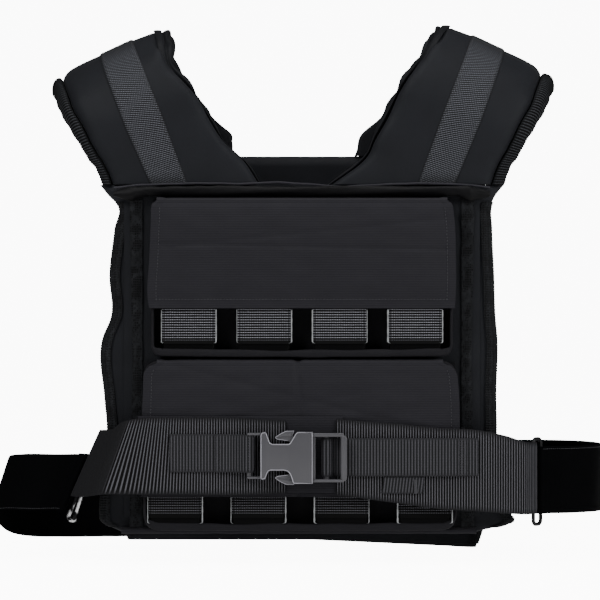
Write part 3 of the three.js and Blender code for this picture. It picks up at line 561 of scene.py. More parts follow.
def wave(tree, vector, pitch, direction, distortion=0.0):
    """A soft band pattern with the given pitch in metres."""
    return node(tree, "ShaderNodeTexWave", {
        "Vector": vector, "Scale": 2 * math.pi / (20 * pitch), "Distortion": distortion},
        bands_direction=direction).outputs[1]


def spread_of(tree, value, low, high, low_out=0.0, high_out=1.0, **settings):
    """Maps low to high onto another range and holds the ends."""
    return node(tree, "ShaderNodeMapRange", {
        "Value": value, "From Min": low, "From Max": high, "To Min": low_out, "To Max": high_out},
        **settings).outputs[0]


def noise(tree, vector, scale, detail):
    return node(tree, "ShaderNodeTexNoise", {"Vector": vector, "Scale": scale, "Detail": detail}).outputs[0]


def blend_of(tree, a, b, share):
    return sum_of(tree, "ADD", sum_of(tree, "MULTIPLY", a, 1 - share), sum_of(tree, "MULTIPLY", b, share))


def woven(name, colour, roughness, weave, lines=0.0, tone_spread=1.35, sheen=0.02, source="Object", gloss=0.12):
    """Plain woven cloth, with fine horizontal lines where asked."""
    material, tree, shader = new_material(
        name, colour, roughness, Sheen_Weight=sheen, Sheen_Roughness=0.4, Specular_IOR_Level=gloss)
    where = coordinates(tree, source)
    second = "Z" if source == "Object" else "Y"
    threads = blend_of(tree, wave(tree, where, weave, "X"), wave(tree, where, weave, second), 0.5)
    cloud = noise(tree, where, 28.0, 4.0)
    grain = noise(tree, where, 900.0, 2.0)
    factor = blend_of(tree, cloud, grain, 0.45)
    height = blend_of(tree, threads, grain, 0.5)
    if lines:
        fine = wave(tree, where, lines, second, distortion=0.4)
        factor = blend_of(tree, factor, fine, 0.35)
        height = blend_of(tree, height, fine, 0.5)
    low, high = [c / tone_spread for c in colour], [c * tone_spread for c in colour]
    shade_range(tree, shader, factor, low, high, (roughness + 0.08, roughness - 0.08))
    relief(tree, shader, height, 0.35, 0.0004)
    return material


def webbing(name, colour, roughness, rows, cords, tone_spread=2.2, dots=0.35, plain=0.35, light=(0.3, 0.85)):
    """Ribbed webbing on its own length and width: light rows over dark grooves, with a cord pattern."""
    material, tree, shader = new_material(
        name, colour, roughness, Sheen_Weight=0.02, Sheen_Roughness=0.35, Specular_IOR_Level=0.1)
    where = coordinates(tree, "UV")
    across, knots = wave(tree, where, rows, "Y"), wave(tree, where, cords, "X")
    ridge = spread_of(tree, across, *light, interpolation_type="SMOOTHSTEP")
    grain = noise(tree, where, 700.0, 2.0)
    knot = spread_of(tree, knots, 0.2 + 0.3 * dots, 0.7 + 0.25 * dots, interpolation_type="SMOOTHSTEP")
    cord = blend_of(tree, knot, grain, 0.3)
    broken = sum_of(tree, "ADD", sum_of(tree, "MULTIPLY", cord, dots), 1 - dots)
    ribbed = node(tree, "ShaderNodeAttribute", attribute_name="ribbed").outputs["Fac"]
    flat = sum_of(tree, "SUBTRACT", 1.0, ribbed)
    smooth = sum_of(tree, "MULTIPLY", flat, sum_of(tree, "MULTIPLY", grain, plain))
    pattern = sum_of(tree, "MULTIPLY_ADD", sum_of(tree, "MULTIPLY", ridge, broken), ribbed, smooth)
    # The spread sets how far the painted shade in the grooves and the painted highlight on the crests lie
    # below and above the colour.
    low, high = [c / tone_spread for c in colour], [c * tone_spread for c in colour]
    shade_range(tree, shader, pattern, low, high, (roughness + 0.15, roughness - 0.08))
    relief(tree, shader, pattern, 0.45, 0.0005)
    return material


def twilled(name, colour, roughness, pitch):
    """Twill tape: fine slanting cords on its own length and width."""
    material, tree, shader = new_material(
        name, colour, roughness, Sheen_Weight=0.03, Sheen_Roughness=0.35, Specular_IOR_Level=0.15)
    where = node(tree, "ShaderNodeTexCoord").outputs["UV"]
    turn = (0, 0, math.radians(-28))
    slant = node(tree, "ShaderNodeMapping", {"Vector": where, "Rotation": turn}).outputs[0]
    cords = wave(tree, slant, pitch, "Y")
    broken = wave(tree, slant, pitch * 1.1, "X")
    grain = noise(tree, where, 800.0, 2.0)
    # Where the ribbed attribute is low the tape goes dark and plain: painted shadow lines along both edges,
    # and a darker, plainer tape toward the crest and at both ends.
    seen = node(tree, "ShaderNodeAttribute", attribute_name="ribbed").outputs["Fac"]
    strokes = spread_of(tree, cords, 0.3, 0.9)
    pattern = sum_of(tree, "MULTIPLY", strokes, blend_of(tree, broken, grain, 0.6))
    pattern = sum_of(tree, "MULTIPLY", pattern, seen)
    shade_range(tree, shader, pattern, [c * 0.16 for c in colour], [c * 4.6 for c in colour],
                (roughness + 0.1, roughness - 0.1))
    relief(tree, shader, pattern, 0.6, 0.0005)
    return material


def netted(name, colour, roughness, cell):
    """Spacer mesh: small dark openings between lighter threads."""
    material, tree, shader = new_material(
        name, colour, roughness, Sheen_Weight=0.0, Specular_IOR_Level=0.12)
    where = coordinates(tree, "Object", (1, 1, 0.7))
    cells = node(tree, "ShaderNodeTexVoronoi", {"Vector": where, "Scale": 1 / cell, "Randomness": 0.25},
                 feature="DISTANCE_TO_EDGE").outputs[0]
    open_part = spread_of(tree, cells, 0.06, 0.2, 1.0, 0.0)
    grain = noise(tree, where, 160.0, 3.0)
    lit = sum_of(tree, "MULTIPLY", open_part, grain)
    shade_range(tree, shader, lit, [c * 0.25 for c in colour], [c * 3.6 for c in colour])
    relief(tree, shader, open_part, 0.5, 0.0004)
    return material


def coated(name, colour, roughness, grain_scale, bump, metal=0.0, tone_spread=1.4, gloss=0.5):
    """Gloss or satin hard surface with a fine grain and uneven polish."""
    material, tree, shader = new_material(name, colour, roughness, Metallic=metal, Specular_IOR_Level=gloss)
    where = coordinates(tree, "Object")
    grain = noise(tree, where, grain_scale, 3.0)
    cloud = noise(tree, where, 45.0, 2.0)
    factor = blend_of(tree, grain, cloud, 0.6)
    shade_range(tree, shader, factor, [c / tone_spread for c in colour], [c * tone_spread for c in colour],
                (roughness + 0.07, roughness - 0.05))
    relief(tree, shader, grain, bump, 0.0003)
    return material


def highlight_patched_steel(name, bright, dark, below):
    """Blackened steel that is rubbed bright in patches under a height."""
    material, tree, shader = new_material(name, bright, 0.25, Metallic=1.0)
    where = node(tree, "ShaderNodeTexCoord").outputs["Object"]
    height = node(tree, "ShaderNodeSeparateXYZ", {"Vector": where}).outputs["Z"]
    highlight_height_mask = spread_of(tree, height, below - 0.004, below + 0.004, 1.0, 0.0)
    grain = noise(tree, where, 300.0, 2.0)
    cloud = noise(tree, where, 110.0, 1.0)
    highlight_patch = spread_of(tree, cloud, 0.44, 0.54)
    shade_range(tree, shader, sum_of(tree, "MULTIPLY", highlight_height_mask, highlight_patch), dark, bright)
    relief(tree, shader, grain, 0.1, 0.0003)
    return material


def make_finish(name):
    tint = colours()
    recipes = {
        "cloth": lambda: woven("flap cloth", tint.cloth, 0.62, 0.0011, lines=0.0024),
        "pad_cloth": lambda: woven("pad cloth", tint.pad_cloth, 0.6, 0.0009, sheen=0.03),
        "band": lambda: woven("side band cloth", tint.band, 0.8, 0.0012, sheen=0.0, gloss=0.03),
        "webbing": lambda: webbing("ribbed webbing", tint.webbing, 0.6, sizes().rib_pitch, 0.0013,
                                   tone_spread=7.5, plain=0.14, light=(0.52, 1.0)),
        "sleeve": lambda: webbing("sleeve webbing", [c * 2.2 for c in tint.webbing], 0.5,
                                  sizes().sleeve_pitch, 0.0023, tone_spread=16.0, dots=0.95, plain=0.0,
                                  light=(0.74, 1.0)),
        # The lower row's sleeves are the same webbing as the upper ones, darkened from 2.2 to 0.8 times the
        # webbing colour: painted shade from the belt above.
        "painted_shade_low_sleeve": lambda: webbing("lower sleeve webbing in painted shade", [c * 0.8 for c in tint.webbing], 0.55,
                                      sizes().sleeve_pitch, 0.0023, tone_spread=16.0, dots=0.95, plain=0.0,
                                      light=(0.74, 1.0)),
        "strap": lambda: webbing("strap webbing", [c * 1.6 for c in tint.webbing], 0.58, STRAP_RIB[0],
                                 0.0016, tone_spread=2.6),
        "lining": lambda: woven("lining cloth", [c * 0.55 for c in tint.pad_cloth], 0.6, 0.0009, tone_spread=1.8),
        "pocket": lambda: woven("compartment cloth", [c * 0.55 for c in tint.cloth], 0.65, 0.0011,
                                tone_spread=1.5),
        "yoke": lambda: woven("yoke cloth", [c * 0.13 for c in tint.cloth], 0.5, 0.0009, tone_spread=2.4),
        "binding": lambda: webbing("ribbed binding", [c * 0.9 for c in tint.mesh], 0.6,
                                   sizes().binding_pitch, 0.0022, tone_spread=6.0, light=(0.5, 1.0)),
        "twill": lambda: twilled("shoulder twill", tint.twill, 0.6, 0.0021),
        "mesh": lambda: netted("spacer mesh", tint.mesh, 0.7, 0.0017),
        # The gloss finish is light grey and paints the glints on the blocks' glossy edges.
        "gloss": lambda: coated("painted edge glint", (0.16, 0.165, 0.17), 0.3, 260.0, 0.3, tone_spread=3.5),
        # Four times the plastic's colour: painted highlight for the buckle's lit edges.
        "painted_edge_highlight": lambda: coated("plastic edge highlight", [c * 4.0 for c in tint.plastic], 0.35,
                                       700.0, 0.1),
        "iron": lambda: coated("iron coating", tint.iron, 0.35, 420.0, 0.15, gloss=0.06),
        "plastic": lambda: coated("buckle plastic", tint.plastic, 0.36, 1500.0, 0.1, tone_spread=1.12),
        # The left ring is dark steel, painted bright in patches on its lower end as its highlights.
        "highlight_patched_steel": lambda: highlight_patched_steel("ring steel with painted highlights", (0.8, 0.8, 0.82), (0.012, 0.012, 0.013),
                                         -0.437),
        "dark_steel": lambda: coated("dark ring steel", (0.008, 0.008, 0.009), 0.3, 300.0, 0.1, metal=0.6),
        "thread": lambda: woven("sewing thread", tint.thread, 0.6, 0.0006, sheen=0.05),
        # The piping is glossier cloth at 1.6 times the flap cloth's colour; the lighter colour is a painted
        # highlight along the seam.
        "piping": lambda: woven("piping", [c * 1.6 for c in tint.cloth], 0.42, 0.0008, sheen=0.1),
    }
    return recipes[name]()


FINISHES = {}


def finish(name):
    if name not in FINISHES:
        FINISHES[name] = make_finish(name)
    return FINISHES[name]


# Front and back panels

# Share of the height, and the half width left and right as shares of the panel's
PANEL_ROWS = [
    (0, 1.046, 1.046), (0.032, 1.0, 1.0), (0.057, 0.955, 0.98), (0.127, 0.968, 0.979),
    (0.257, 0.994, 0.989), (0.386, 0.989, 0.997), (0.435, 1.026, 1.005), (0.614, 1.02, 1.0),
    (0.704, 1.007, 1.003), (0.824, 1.03, 0.99), (0.926, 1.046, 1.025), (0.946, 1.046, 1.07),
    (0.974, 1.03, 1.08), (1, 0.932, 0.9),
]
# The same for the back panel
BACK_ROWS = [(0, 1.0, 1.0), (0.3, 1.0, 1.0), (0.7, 1.01, 1.01), (0.96, 1.02, 1.02), (1, 0.99, 0.99)]


def pad_section(start, end, thickness, ends=8, faces=30):
    """A section with round ends: place across and height over the back of the pad."""
    radius = thickness / 2
    turns = np.linspace(1.5 * math.pi, 0.5 * math.pi, ends + 1)
    first = np.stack([start + radius + radius * np.cos(turns), radius + radius * np.sin(turns)], 1)
    across = np.linspace(start + radius, end - radius, faces + 1)[1:-1]
    top = np.stack([across, np.full_like(across, thickness)], 1)
    turns = np.linspace(0.5 * math.pi, -0.5 * math.pi, ends + 1)
    last = np.stack([end - radius + radius * np.cos(turns), radius + radius * np.sin(turns)], 1)
    foot = np.stack([across[::-1], np.zeros_like(across)], 1)
    return np.concatenate([first, top, last, foot])


def corner_drop(x, share):
    """The back panel hangs lower at its right foot."""
    return 8.0 * ease(x, 65.0, BACK_HALF) * ease(share, 0.7, 1.0)


def panel_loops(table, half, top, height, facing, steps=110):
    """Loops of a panel's pad down its height. facing is -1 in front and 1 behind."""
    loops = []
    for share in np.linspace(0, 1, steps + 1):
        left = curve_value(column(table, 0), column(table, 1), share) * half
        right = curve_value(column(table, 0), column(table, 2), share) * half
        section = pad_section(-left, right, PAD_THICKNESS)
        z = top - share * height
        near_end = ease(share, 0, 0.02) * ease(1 - share, 0, 0.02)
        out = PAD_THICKNESS / 2 + (section[:, 1] - PAD_THICKNESS / 2) * mix(0.55, 1.0, near_end)
        edge = np.minimum(section[:, 0] + left, right - section[:, 0])
        dent = 0.7 * ripple(section[:, 0], z, 46, 3) * ease(edge, 0, 30)
        y = facing * (-HOLLOW_Y + np.clip(out + np.where(out > 9, dent - 0.7, 0), 0, PAD_THICKNESS))
        drop = corner_drop(section[:, 0], share) if facing > 0 else 0.0
        loops.append(stack(section[:, 0], y, z - drop))
    return np.stack(loops)


def edge_binding(name, table, half, top, height, facing, material_slot, start=0.0, end=1.0):
    """Ribbed mesh binding round both upright edges of a panel."""
    shell = Shell()
    radius = PAD_THICKNESS / 2
    for _, sign in SIDES:
        u, v = shares(14, 520)
        share = mix(start, end, v)
        edge = curve_value(column(table, 0), column(table, 1 if sign < 0 else 2), share) * half
        turn = mix(-1.7, 1.35, u)
        lap = np.clip(np.abs(turn) - math.pi / 2, 0, None) * 12
        round_turn = np.clip(turn, -math.pi / 2, math.pi / 2)
        z = top - share * height + 0 * u
        if facing > 0:
            z = z - corner_drop(sign * edge, share)

        def skin(off):
            reach = radius + off
            x = edge - radius + reach * np.cos(round_turn) - lap
            y = facing * (-HOLLOW_Y + radius + reach * np.sin(-facing * -round_turn))
            return stack(sign * x, y, z)

        front, back = skin(1.2), skin(0.15)
        mask = ease(u, 0.0, 0.12) * ease(1 - u, 0.0, 0.12)
        shell.slab(front, back, ribbed=mask, run=run_length(front, 0))
    piece = shell.object(name, finish("mesh"))
    ribs(piece, sizes().binding_pitch, COARSE_RIB)
    keep(piece, material_slot)
    return piece


def make_front_panel():
    loops = panel_loops(PANEL_ROWS, PANEL_HALF, SEAM_Z - GAP, PANEL_HEIGHT, -1)
    pad = solid_piece("front_panel_pad", "pad_cloth", loops, "mesh", "front_pad")
    edge_binding("front_panel_binding", PANEL_ROWS, PANEL_HALF, SEAM_Z - GAP, PANEL_HEIGHT, -1,
                 "mesh", 0.05, 0.985)

    u, v = shares(60, 90)
    top, foot = SEAM_Z - GAP, SEAM_Z - GAP - FRONT_COVER_HEIGHT
    x = mix(-FRONT_COVER_HALF, FRONT_COVER_HALF, u)
    z = mix(top, foot, v)
    rim = ease(np.minimum(u, 1 - u), 0, 0.02) * ease(np.minimum(v, 1 - v), 0, 0.02)
    lift = rim * (0.6 + 0.3 * ripple(x, z, 60, 11))
    cover = sheet_piece("front_panel_cover", "pad_cloth", stack(x, PAD_Y - GAP - 1.0 - lift, z),
                        stack(x, PAD_Y - GAP, z), "nylon", "front_cover")

    for side, sign in SIDES:
        u, v = shares(10, 160)
        inner = POCKET_HALF + 8.0 + GAP
        bend = 3.0 * (1 - np.abs(2 * v - 1))
        x = sign * mix(inner, inner + STRIP_WIDTH - bend, u)
        z = mix(UPPER_TOP, LOWER_FOOT, v)
        lift = 0.5 * np.sin(math.pi * u) + 0.3 * ripple(x, z, 24, 5)
        name = "mesh_strip_" + side
        strip = sheet_piece(name + "_net", "mesh", stack(x, COVER_Y - GAP - 0.9 - lift, z),
                            stack(x, COVER_Y - GAP, z), "mesh", name)

    radius = 3.5
    turns = np.linspace(0, 2 * math.pi, 15)[:-1]
    loops = []
    for share in np.linspace(0, 1, 150):
        x = mix(-PANEL_ROWS[-1][1], PANEL_ROWS[-1][2], share) * PANEL_HALF
        swell = 0.35 * ripple(x, 0, 19, 8)
        middle = (PAD_Y - GAP - radius, LOWER_FOOT - GAP - radius)
        reach = radius - 0.4 + swell * 0.5
        loops.append(stack(x, middle[0] + reach * np.cos(turns), middle[1] + reach * np.sin(turns)))
    solid_piece("front_hem_roll", "cloth", loops, "nylon", "front_hem")


def make_back_panel():
    top = BACK_SEAM_Z - GAP
    height = top - PANEL_FOOT + 18.0
    half, inset = BACK_HALF, BACK_COVER_INSET
    pad = solid_piece("back_panel_pad", "pad_cloth", panel_loops(BACK_ROWS, half, top, height, 1),
                      "mesh", "back_pad")
    edge_binding("back_panel_binding", BACK_ROWS, half, top, height, 1, "mesh", 0.01, 0.99)

    u, v = shares(64, 100)
    x = mix(inset - half, half - inset, u)
    z = mix(top - 2, top - height + inset, v)
    rim = ease(np.minimum(u, 1 - u), 0, 0.02) * ease(np.minimum(v, 1 - v), 0, 0.02)
    lift = rim * (1.1 + 0.4 * ripple(x, z, 70, 21))
    cover = sheet_piece("back_panel_cover", "cloth", stack(x, -PAD_Y + GAP + 1.0 + lift, z),
                        stack(x, -PAD_Y + GAP, z), "nylon", "back_cover")
    lines = []
    for row in (6.0, 11.0):
        side = half - inset - row
        outline = rounded_box(-side, side, top - height + inset + row, top - 2 - row, 6)
        outline.append(outline[0])
        lines.append([(x, -PAD_Y + GAP + 2.3, z) for x, z in outline])
    stitches("back_cover_stitches", lines)


# Yoke along the seam

# Places across and rise of the piping
PIPING_COURSE = (
    (-190, -160, -115, -60, -20, 0, 16, 34, 62, 107, 155, 190),
    (-3.6, -0.8, 0.3, 0.6, 1.8, 0.2, -0.8, -2.8, -1.4, 0.3, 0, -3.2),
)


def make_yoke():
    turns = np.linspace(0, 2 * math.pi, 25)[:-1]
    loops, cords = [], []
    places = [0, 0.05, 0.09, 0.3, 0.5, 0.7, 0.91, 0.95, 1]
    swell = [1, 1, 0, 0, 0, 0, 0, 1, 1]
    for share in np.linspace(0, 1, 260):
        full = float(np.clip(curve_value(places, swell, share), 0, 1))
        radius = mix(5.5, 8.5, full)
        x = mix(-190.0, 190.0, share)
        fold = 0.16 * ripple(x, 0, 26, 4) + 0.22 * np.sin(3 * turns + x / 21.0)
        end = min(1.0, 0.35 + 12 * min(share, 1 - share))
        reach = radius * (0.93 + 0.3 * fold) * end
        y = COVER_Y - GAP - 0.7 * 8.5 + 0.7 * reach * np.cos(turns)
        z = YOKE_TOP - radius + reach * np.sin(turns)
        loops.append(stack(x, y, z))
        wave_z = float(curve_value(*PIPING_COURSE, x)) + 0.3 * float(ripple(x, 0, 40, 9))
        cords.append(stack(x, -ARCH_RADIUS - 1.5 - 2 * GAP - 1.2 + 1.15 * np.cos(turns[::3]),
                           SEAM_Z + wave_z + 1.15 * np.sin(turns[::3])))
    solid_piece("yoke_roll", "yoke", loops, "nylon", "yoke_band")
    solid_piece("yoke_piping_cord", "piping", cords, "webbing", "yoke_piping")


# Shoulders

# Turn from the crest, fall below the arch, outer edge, left and right inner edge
SHOULDER_ROWS = [
    (90, 1, 0.775, 0.29, 0.204), (90, 0.73, 0.792, 0.393, 0.424), (90, 0.5, 0.812, 0.533, 0.502),
    (90, 0.25, 0.84, 0.628, 0.59), (90, 0, 0.865, 0.705, 0.658), (75, 0, 0.9, 0.81, 0.733),
    (60, 0, 0.94, 0.913, 0.817), (45, 0, 0.962, 0.953, 0.889), (30, 0, 0.982, 0.97, 0.94),
    (15, 0, 0.995, 0.99, 0.98), (0, 0, 1, 1, 1),
]
# Reach of the outer and the inner edge at the crest, and the least inner share behind
PAD_OUTER, PAD_INNER = 247.0, 149.0
BACK_INNER = {"left": 0.5, "right": 0.4}
# How far the ribbed rim stands out, and how far the gathered lining does at the crest and at the foot
RIM_LAP = {"left": 10.5, "right": 13.0}
GATHER_LAP = {"left": (12.0, 1.5), "right": (9.0, 4.5)}
GATHER_COUNT = 9
# Reach and height of the tape's middle line at the seam and at the crest
TAPE_LINE = {"left": (136.9, -116.2, 191.6, 20.3), "right": (137.5, -117.7, 192.7, 26.5)}


class Arch:
    """The curved place of one shoulder pad, from the front seam over the crest to the back seam."""

    def __init__(self, side, sign):
        self.side, self.sign = side, sign
        rows = SHOULDER_ROWS + SHOULDER_ROWS[-2::-1]
        count = len(SHOULDER_ROWS)
        self.steps = np.arange(len(rows))
        inner = 3 if side == "left" else 4
        self.turn = [(-1 if i < count else 1) * row[0] for i, row in enumerate(rows)]
        self.fall = column(rows, 1)
        self.outer = [row[2] * PAD_OUTER for row in rows]
        self.inner = [
            PAD_INNER * (row[inner] if i < count else max(row[inner], BACK_INNER[side]))
            for i, row in enumerate(rows)
        ]
        lift = sign * RIGHT_PAD_LIFT / 2
        self.outer_crest = UNDERSIDE - SHOULDER_RISE / 2 + lift
        self.inner_crest = UNDERSIDE + SHOULDER_RISE / 2 + lift

    def tape_middle(self, step):
        """Reach of the tape's middle line, which looks straight from the front."""
        low_x, low_z, high_x, high_z = TAPE_LINE[self.side]
        x = np.full(np.shape(step), (low_x + high_x) / 2)
        for _ in range(12):
            z = self.place(step, x, ARCH_RADIUS)[..., 2]
            x = mix(x, low_x + (high_x - low_x) * (z - low_z) / (high_z - low_z), 0.7)
        return x

    def edges(self, step):
        return curve_value(self.steps, self.outer, step), curve_value(self.steps, self.inner, step)

    def place(self, step, x, radius):
        """A point in space from the step along the arch, the reach from the middle and the radius."""
        turn = np.radians(np.interp(step, self.steps, self.turn))
        fall = np.interp(step, self.steps, self.fall)
        outer, inner = self.edges(step)
        across = (outer - x) / (outer - inner)
        crest = mix(self.outer_crest, self.inner_crest, across)
        foot = np.where(turn < 0, SEAM_Z, BACK_SEAM_Z)
        arch = crest - ARCH_RADIUS
        z = arch + radius * np.cos(turn) + fall * (foot - arch)
        return stack(self.sign * x, radius * np.sin(turn), z)

    def lap(self, step):
        crest, foot = GATHER_LAP[self.side]
        share = np.abs(np.interp(step, self.steps, self.turn)) / 90
        swing = np.sin(2 * math.pi * GATHER_COUNT * step / self.steps[-1])
        return mix(crest, foot, share ** 2.5) + 1.7 * swing

    def crown(self, step, x):
        """How far the pad's face swells or puckers at a place."""
        outer, inner = self.edges(step)
        across = np.clip((x - inner) / (outer - inner), 0, 1)
        swell = sizes().pad_crown / MM * (1 - (2 * across - 1) ** 4)
        near_inner = np.exp(-np.clip(x - inner, 0, None) / 13.0)
        swing = np.sin(2 * math.pi * GATHER_COUNT * step / self.steps[-1] + 0.07 * (x - inner) + 1.2)
        near_outer = np.exp(-np.clip(outer - x, 0, None) / 8.0)
        small = np.sin(2 * math.pi * 17 * step / self.steps[-1])
        uneven = 0.25 * ripple(x, step * 15, 70, 6)
        return swell + 1.6 * near_inner * swing + 0.4 * near_outer * small + uneven


def make_shoulders():
    for side, sign in SIDES:
        arch = Arch(side, sign)
        steps = np.linspace(0, arch.steps[-1], 200)
        pad_inside = ARCH_RADIUS - PAD_FOAM

        loops = []
        for step in steps:
            outer, inner = arch.edges(step)
            section = pad_section(inner, outer, PAD_FOAM, 7, 26)
            x, out = section[:, 0], section[:, 1]
            high = ease(out, PAD_FOAM * 0.35, PAD_FOAM)
            out = out + high * (arch.crown(step, x) - 2.2)
            loops.append(arch.place(step, x, pad_inside + np.clip(out, 0, PAD_FOAM + 2.0)))
        pad = solid_piece("shoulder_" + side + "_pad", "pad_cloth", loops, "nylon",
                          "shoulder_pad_" + side)

        loops = []
        for step in np.linspace(0, arch.steps[-1], 300):
            outer, inner = arch.edges(step)
            low = max(inner - max(float(arch.lap(step)), GAP), GAP)
            puff = 1.4 * math.sin(2 * math.pi * GATHER_COUNT * step / arch.steps[-1] + 0.8)
            puff += 5.5 * float(ease(abs(np.interp(step, arch.steps, arch.turn)), 80, 20))
            wrap = float(ease(abs(np.interp(step, arch.steps, arch.turn)), 80, 35))
            lip = [(inner - 0.4, 13.5), (inner + 1.0, 19.2), (inner + 5.5, 21.6), (inner + 4.0, 22.4),
                   (inner - 0.5, 20.6), (inner - 3.0, 16.0 + puff * 0.5)]
            section = soften(np.array([
                (outer - 5, 3), (outer - 5, 5.6), (outer - 9, 5.8), (inner + 10, 5.8), (inner - 0.3, 6.2),
                *((mix(inner - 0.5, x, wrap), mix(6.4, h, wrap)) for x, h in lip),
                (mix(inner - 1.5, inner - 3.4, wrap), 9.5 + puff), (mix(inner, low, 0.6), 11.0 + puff),
                (low + 0.4, 8.0 + puff), (low, 4), (low + 1, 1), (inner, 0.4), (outer - 9, 0.4),
            ]), 2)
            loops.append(arch.place(step, section[:, 0], 55.0 + section[:, 1]))
        lining = solid_piece("shoulder_" + side + "_lining", "lining", loops, "mesh",
                             "shoulder_lining_" + side)

        loops, masks = [], []
        for step in np.linspace(0, arch.steps[-1], 640):
            outer, inner = arch.edges(step)
            high = outer + RIM_LAP[side] + 0.4 * math.sin(step * 2.9) + 0.3 * math.sin(step * 5.3 + 1)
            section = soften(np.array([
                (high - 1, 1), (high, 4), (high + 0.3, 10), (high - 1.0, 15.5), (high - 4, 18.2),
                (outer + 3, 17.2), (outer + 0.6, 14), (outer + 0.6, 6.0), (outer - 4.5, 5.6),
                (outer - 4.5, 2), (outer + 2, 0.3), (high - 4, 0),
            ]), 2)
            loops.append(arch.place(step, section[:, 0], 55.0 + section[:, 1]))
            masks.append(ease(section[:, 0], outer + 1.0, outer + 3.5) * ease(section[:, 1], 1, 4))
        loops = np.stack(loops)
        shell = Shell()
        run = np.repeat(run_length(loops[:, :1], 0), loops.shape[1], 1)
        uv = np.stack([run_length(loops, 1), run], -1)
        shell.tube(loops, uv, ribbed=np.stack(masks), run=run)
        rim = shell.object("shoulder_" + side + "_rim", finish("binding"))
        ribs(rim, sizes().binding_pitch, COARSE_RIB)
        keep(rim, "mesh")

        u, v = shares(24, 260)
        step = v * arch.steps[-1]
        climb = 1 - np.abs(2 * v - 1)
        x = arch.tape_middle(step) + mix(-1, 1, u) * mix(19.2, 17.0, climb)
        base = ARCH_RADIUS - 2.2 + np.maximum(arch.crown(step, x), 0) + 0.2
        inside = ease(np.minimum(u, 1 - u), 0.015, 0.05)
        shell = Shell()
        front = arch.place(step, x, base + 0.3 + 1.1 * inside)
        # seen paints a shadow line along both edges of the tape, and falls to 0.35 toward the crest and at
        # both ends, where the tape is darker and plainer.
        seen = inside * mix(0.35, 1.0, ease(1 - climb, 0.08, 0.3) * ease(climb, 0.0, 0.08))
        shell.slab(front, arch.place(step, x, base), ribbed=seen)
        tape = keep(shell.object("shoulder_" + side + "_tape", finish("twill")), "webbing",
                    "shoulder_webbing_" + side)
        lines = [front[:, k] + np.array([0, -0.05, 0.05]) for k in (2, 22)]
        stitches("shoulder_" + side + "_tape_stitches", lines, "webbing")


# Compartments, blocks and sleeves

def pocket(name, left, right, top, foot, sag, corner):
    """A cloth box, open in front, with a rolled front rim that is a soft hem at its foot."""
    outline = np.array(rounded_box(left + 3.0, right - 3.0, foot + 1.2, top - 1.2, corner, 6))
    closed = np.vstack([outline, outline[:1]])
    steps = np.linalg.norm(np.diff(closed, axis=0), axis=1)
    run = np.concatenate([[0], np.cumsum(steps)])
    at = np.linspace(0, run[-1], 361)[:-1]
    x, z = np.interp(at, run, closed[:, 0]), np.interp(at, run, closed[:, 1])
    following, before = np.roll(x, -1) - np.roll(x, 1), np.roll(z, -1) - np.roll(z, 1)
    size = np.hypot(following, before)
    nx, nz = before / size, -following / size
    back, front = POCKET_BACK_Y, POCKET_FRONT_Y
    loops = []
    for i in range(len(at)):
        hem = ease(-nz[i], 0.3, 0.9) * (1 + 0.18 * ripple(at[i], 0, 55, 23))
        section = soften(np.array([
            (1.2, back), (1.2, mix(back, front, 0.5)), (1.2 + 1.2 * hem, front + 6),
            (1.5 + 1.6 * hem, front + 2), (0.6 + 0.8 * hem, front), (-1.2 - 2.2 * hem, front + 0.3),
            (-1.5 - 3.6 * hem, front + 2.5), (-1.1 - 2.6 * hem, front + 5),
            (-1.2, mix(back, front, 0.5)), (-1.2, back),
        ]), 2)
        deep = (section[:, 1] - back) / (front - back)
        bow = 0.8 * np.sin(math.pi * deep) * ripple(at[i], deep * 30, 40, 13)
        drop = sag * math.sin(math.pi * (x[i] - left) / (right - left)) * (z[i] < (top + foot) / 2)
        out = section[:, 0] + bow * 0.5
        loops.append(stack(x[i] + nx[i] * out, section[:, 1], z[i] + nz[i] * out - drop * deep))
    shell = Shell()
    shell.ring(np.stack(loops))
    body = shell.object(name + "_walls", finish("pocket"))
    u, v = shares(40, 24)
    floor_x, floor_z = mix(left + 2, right - 2, u), mix(top - 2, foot + 2, v)
    shell = Shell()
    shell.slab(stack(floor_x, back - POCKET_WALL + 0.3 - 0.3 * ripple(floor_x, floor_z, 50, 17), floor_z),
               stack(floor_x, back, floor_z))
    backing = shell.object(name + "_floor", finish("pocket"))
    return joined(name, [body, backing])


def sleeve_loops(centre, foot, height):
    """Loops of a webbing sleeve up its height, from its inner face round to its outer."""
    half, deep = BLOCK_WIDTH / 2, BLOCK_DEPTH / 2
    middle_y = POCKET_BACK_Y - POCKET_WALL - GAP - SLEEVE_WALL - GAP - deep
    rings = []
    for reach in (GAP + SLEEVE_WALL, GAP):
        outline = rounded_box(-half - reach, half + reach, -deep - reach, deep + reach, 2.2 + reach, 5)
        dense = [np.array(outline[i]) * (1 - t) + np.array(outline[(i + 1) % len(outline)]) * t
                 for i in range(len(outline)) for t in (0, 0.5)]
        rings.append(np.roll(np.array(dense), len(dense) // 2, axis=0))
    rows = np.linspace(0, height, 181)
    grids = []
    for ring in rings:
        x = np.repeat(centre + ring[None, :, 0], len(rows), 0)
        y = np.repeat(middle_y + ring[None, :, 1], len(rows), 0)
        z = np.repeat(foot + rows[:, None], ring.shape[0], 1)
        grids.append(stack(x, y, z))
    return grids


def make_compartments():
    for name, left, right, top, foot, sag, corner in (
        ("upper", -POCKET_HALF, POCKET_HALF, UPPER_TOP, UPPER_FOOT, 1.5, 9.0),
        ("lower", LOWER_LEFT, LOWER_RIGHT, LOWER_TOP, LOWER_FOOT, 1.0, 14.0),
    ):
        box = pocket(name + "_pocket", left, right, top, foot, sag, corner)
        keep(box, "nylon", name + "_compartment")


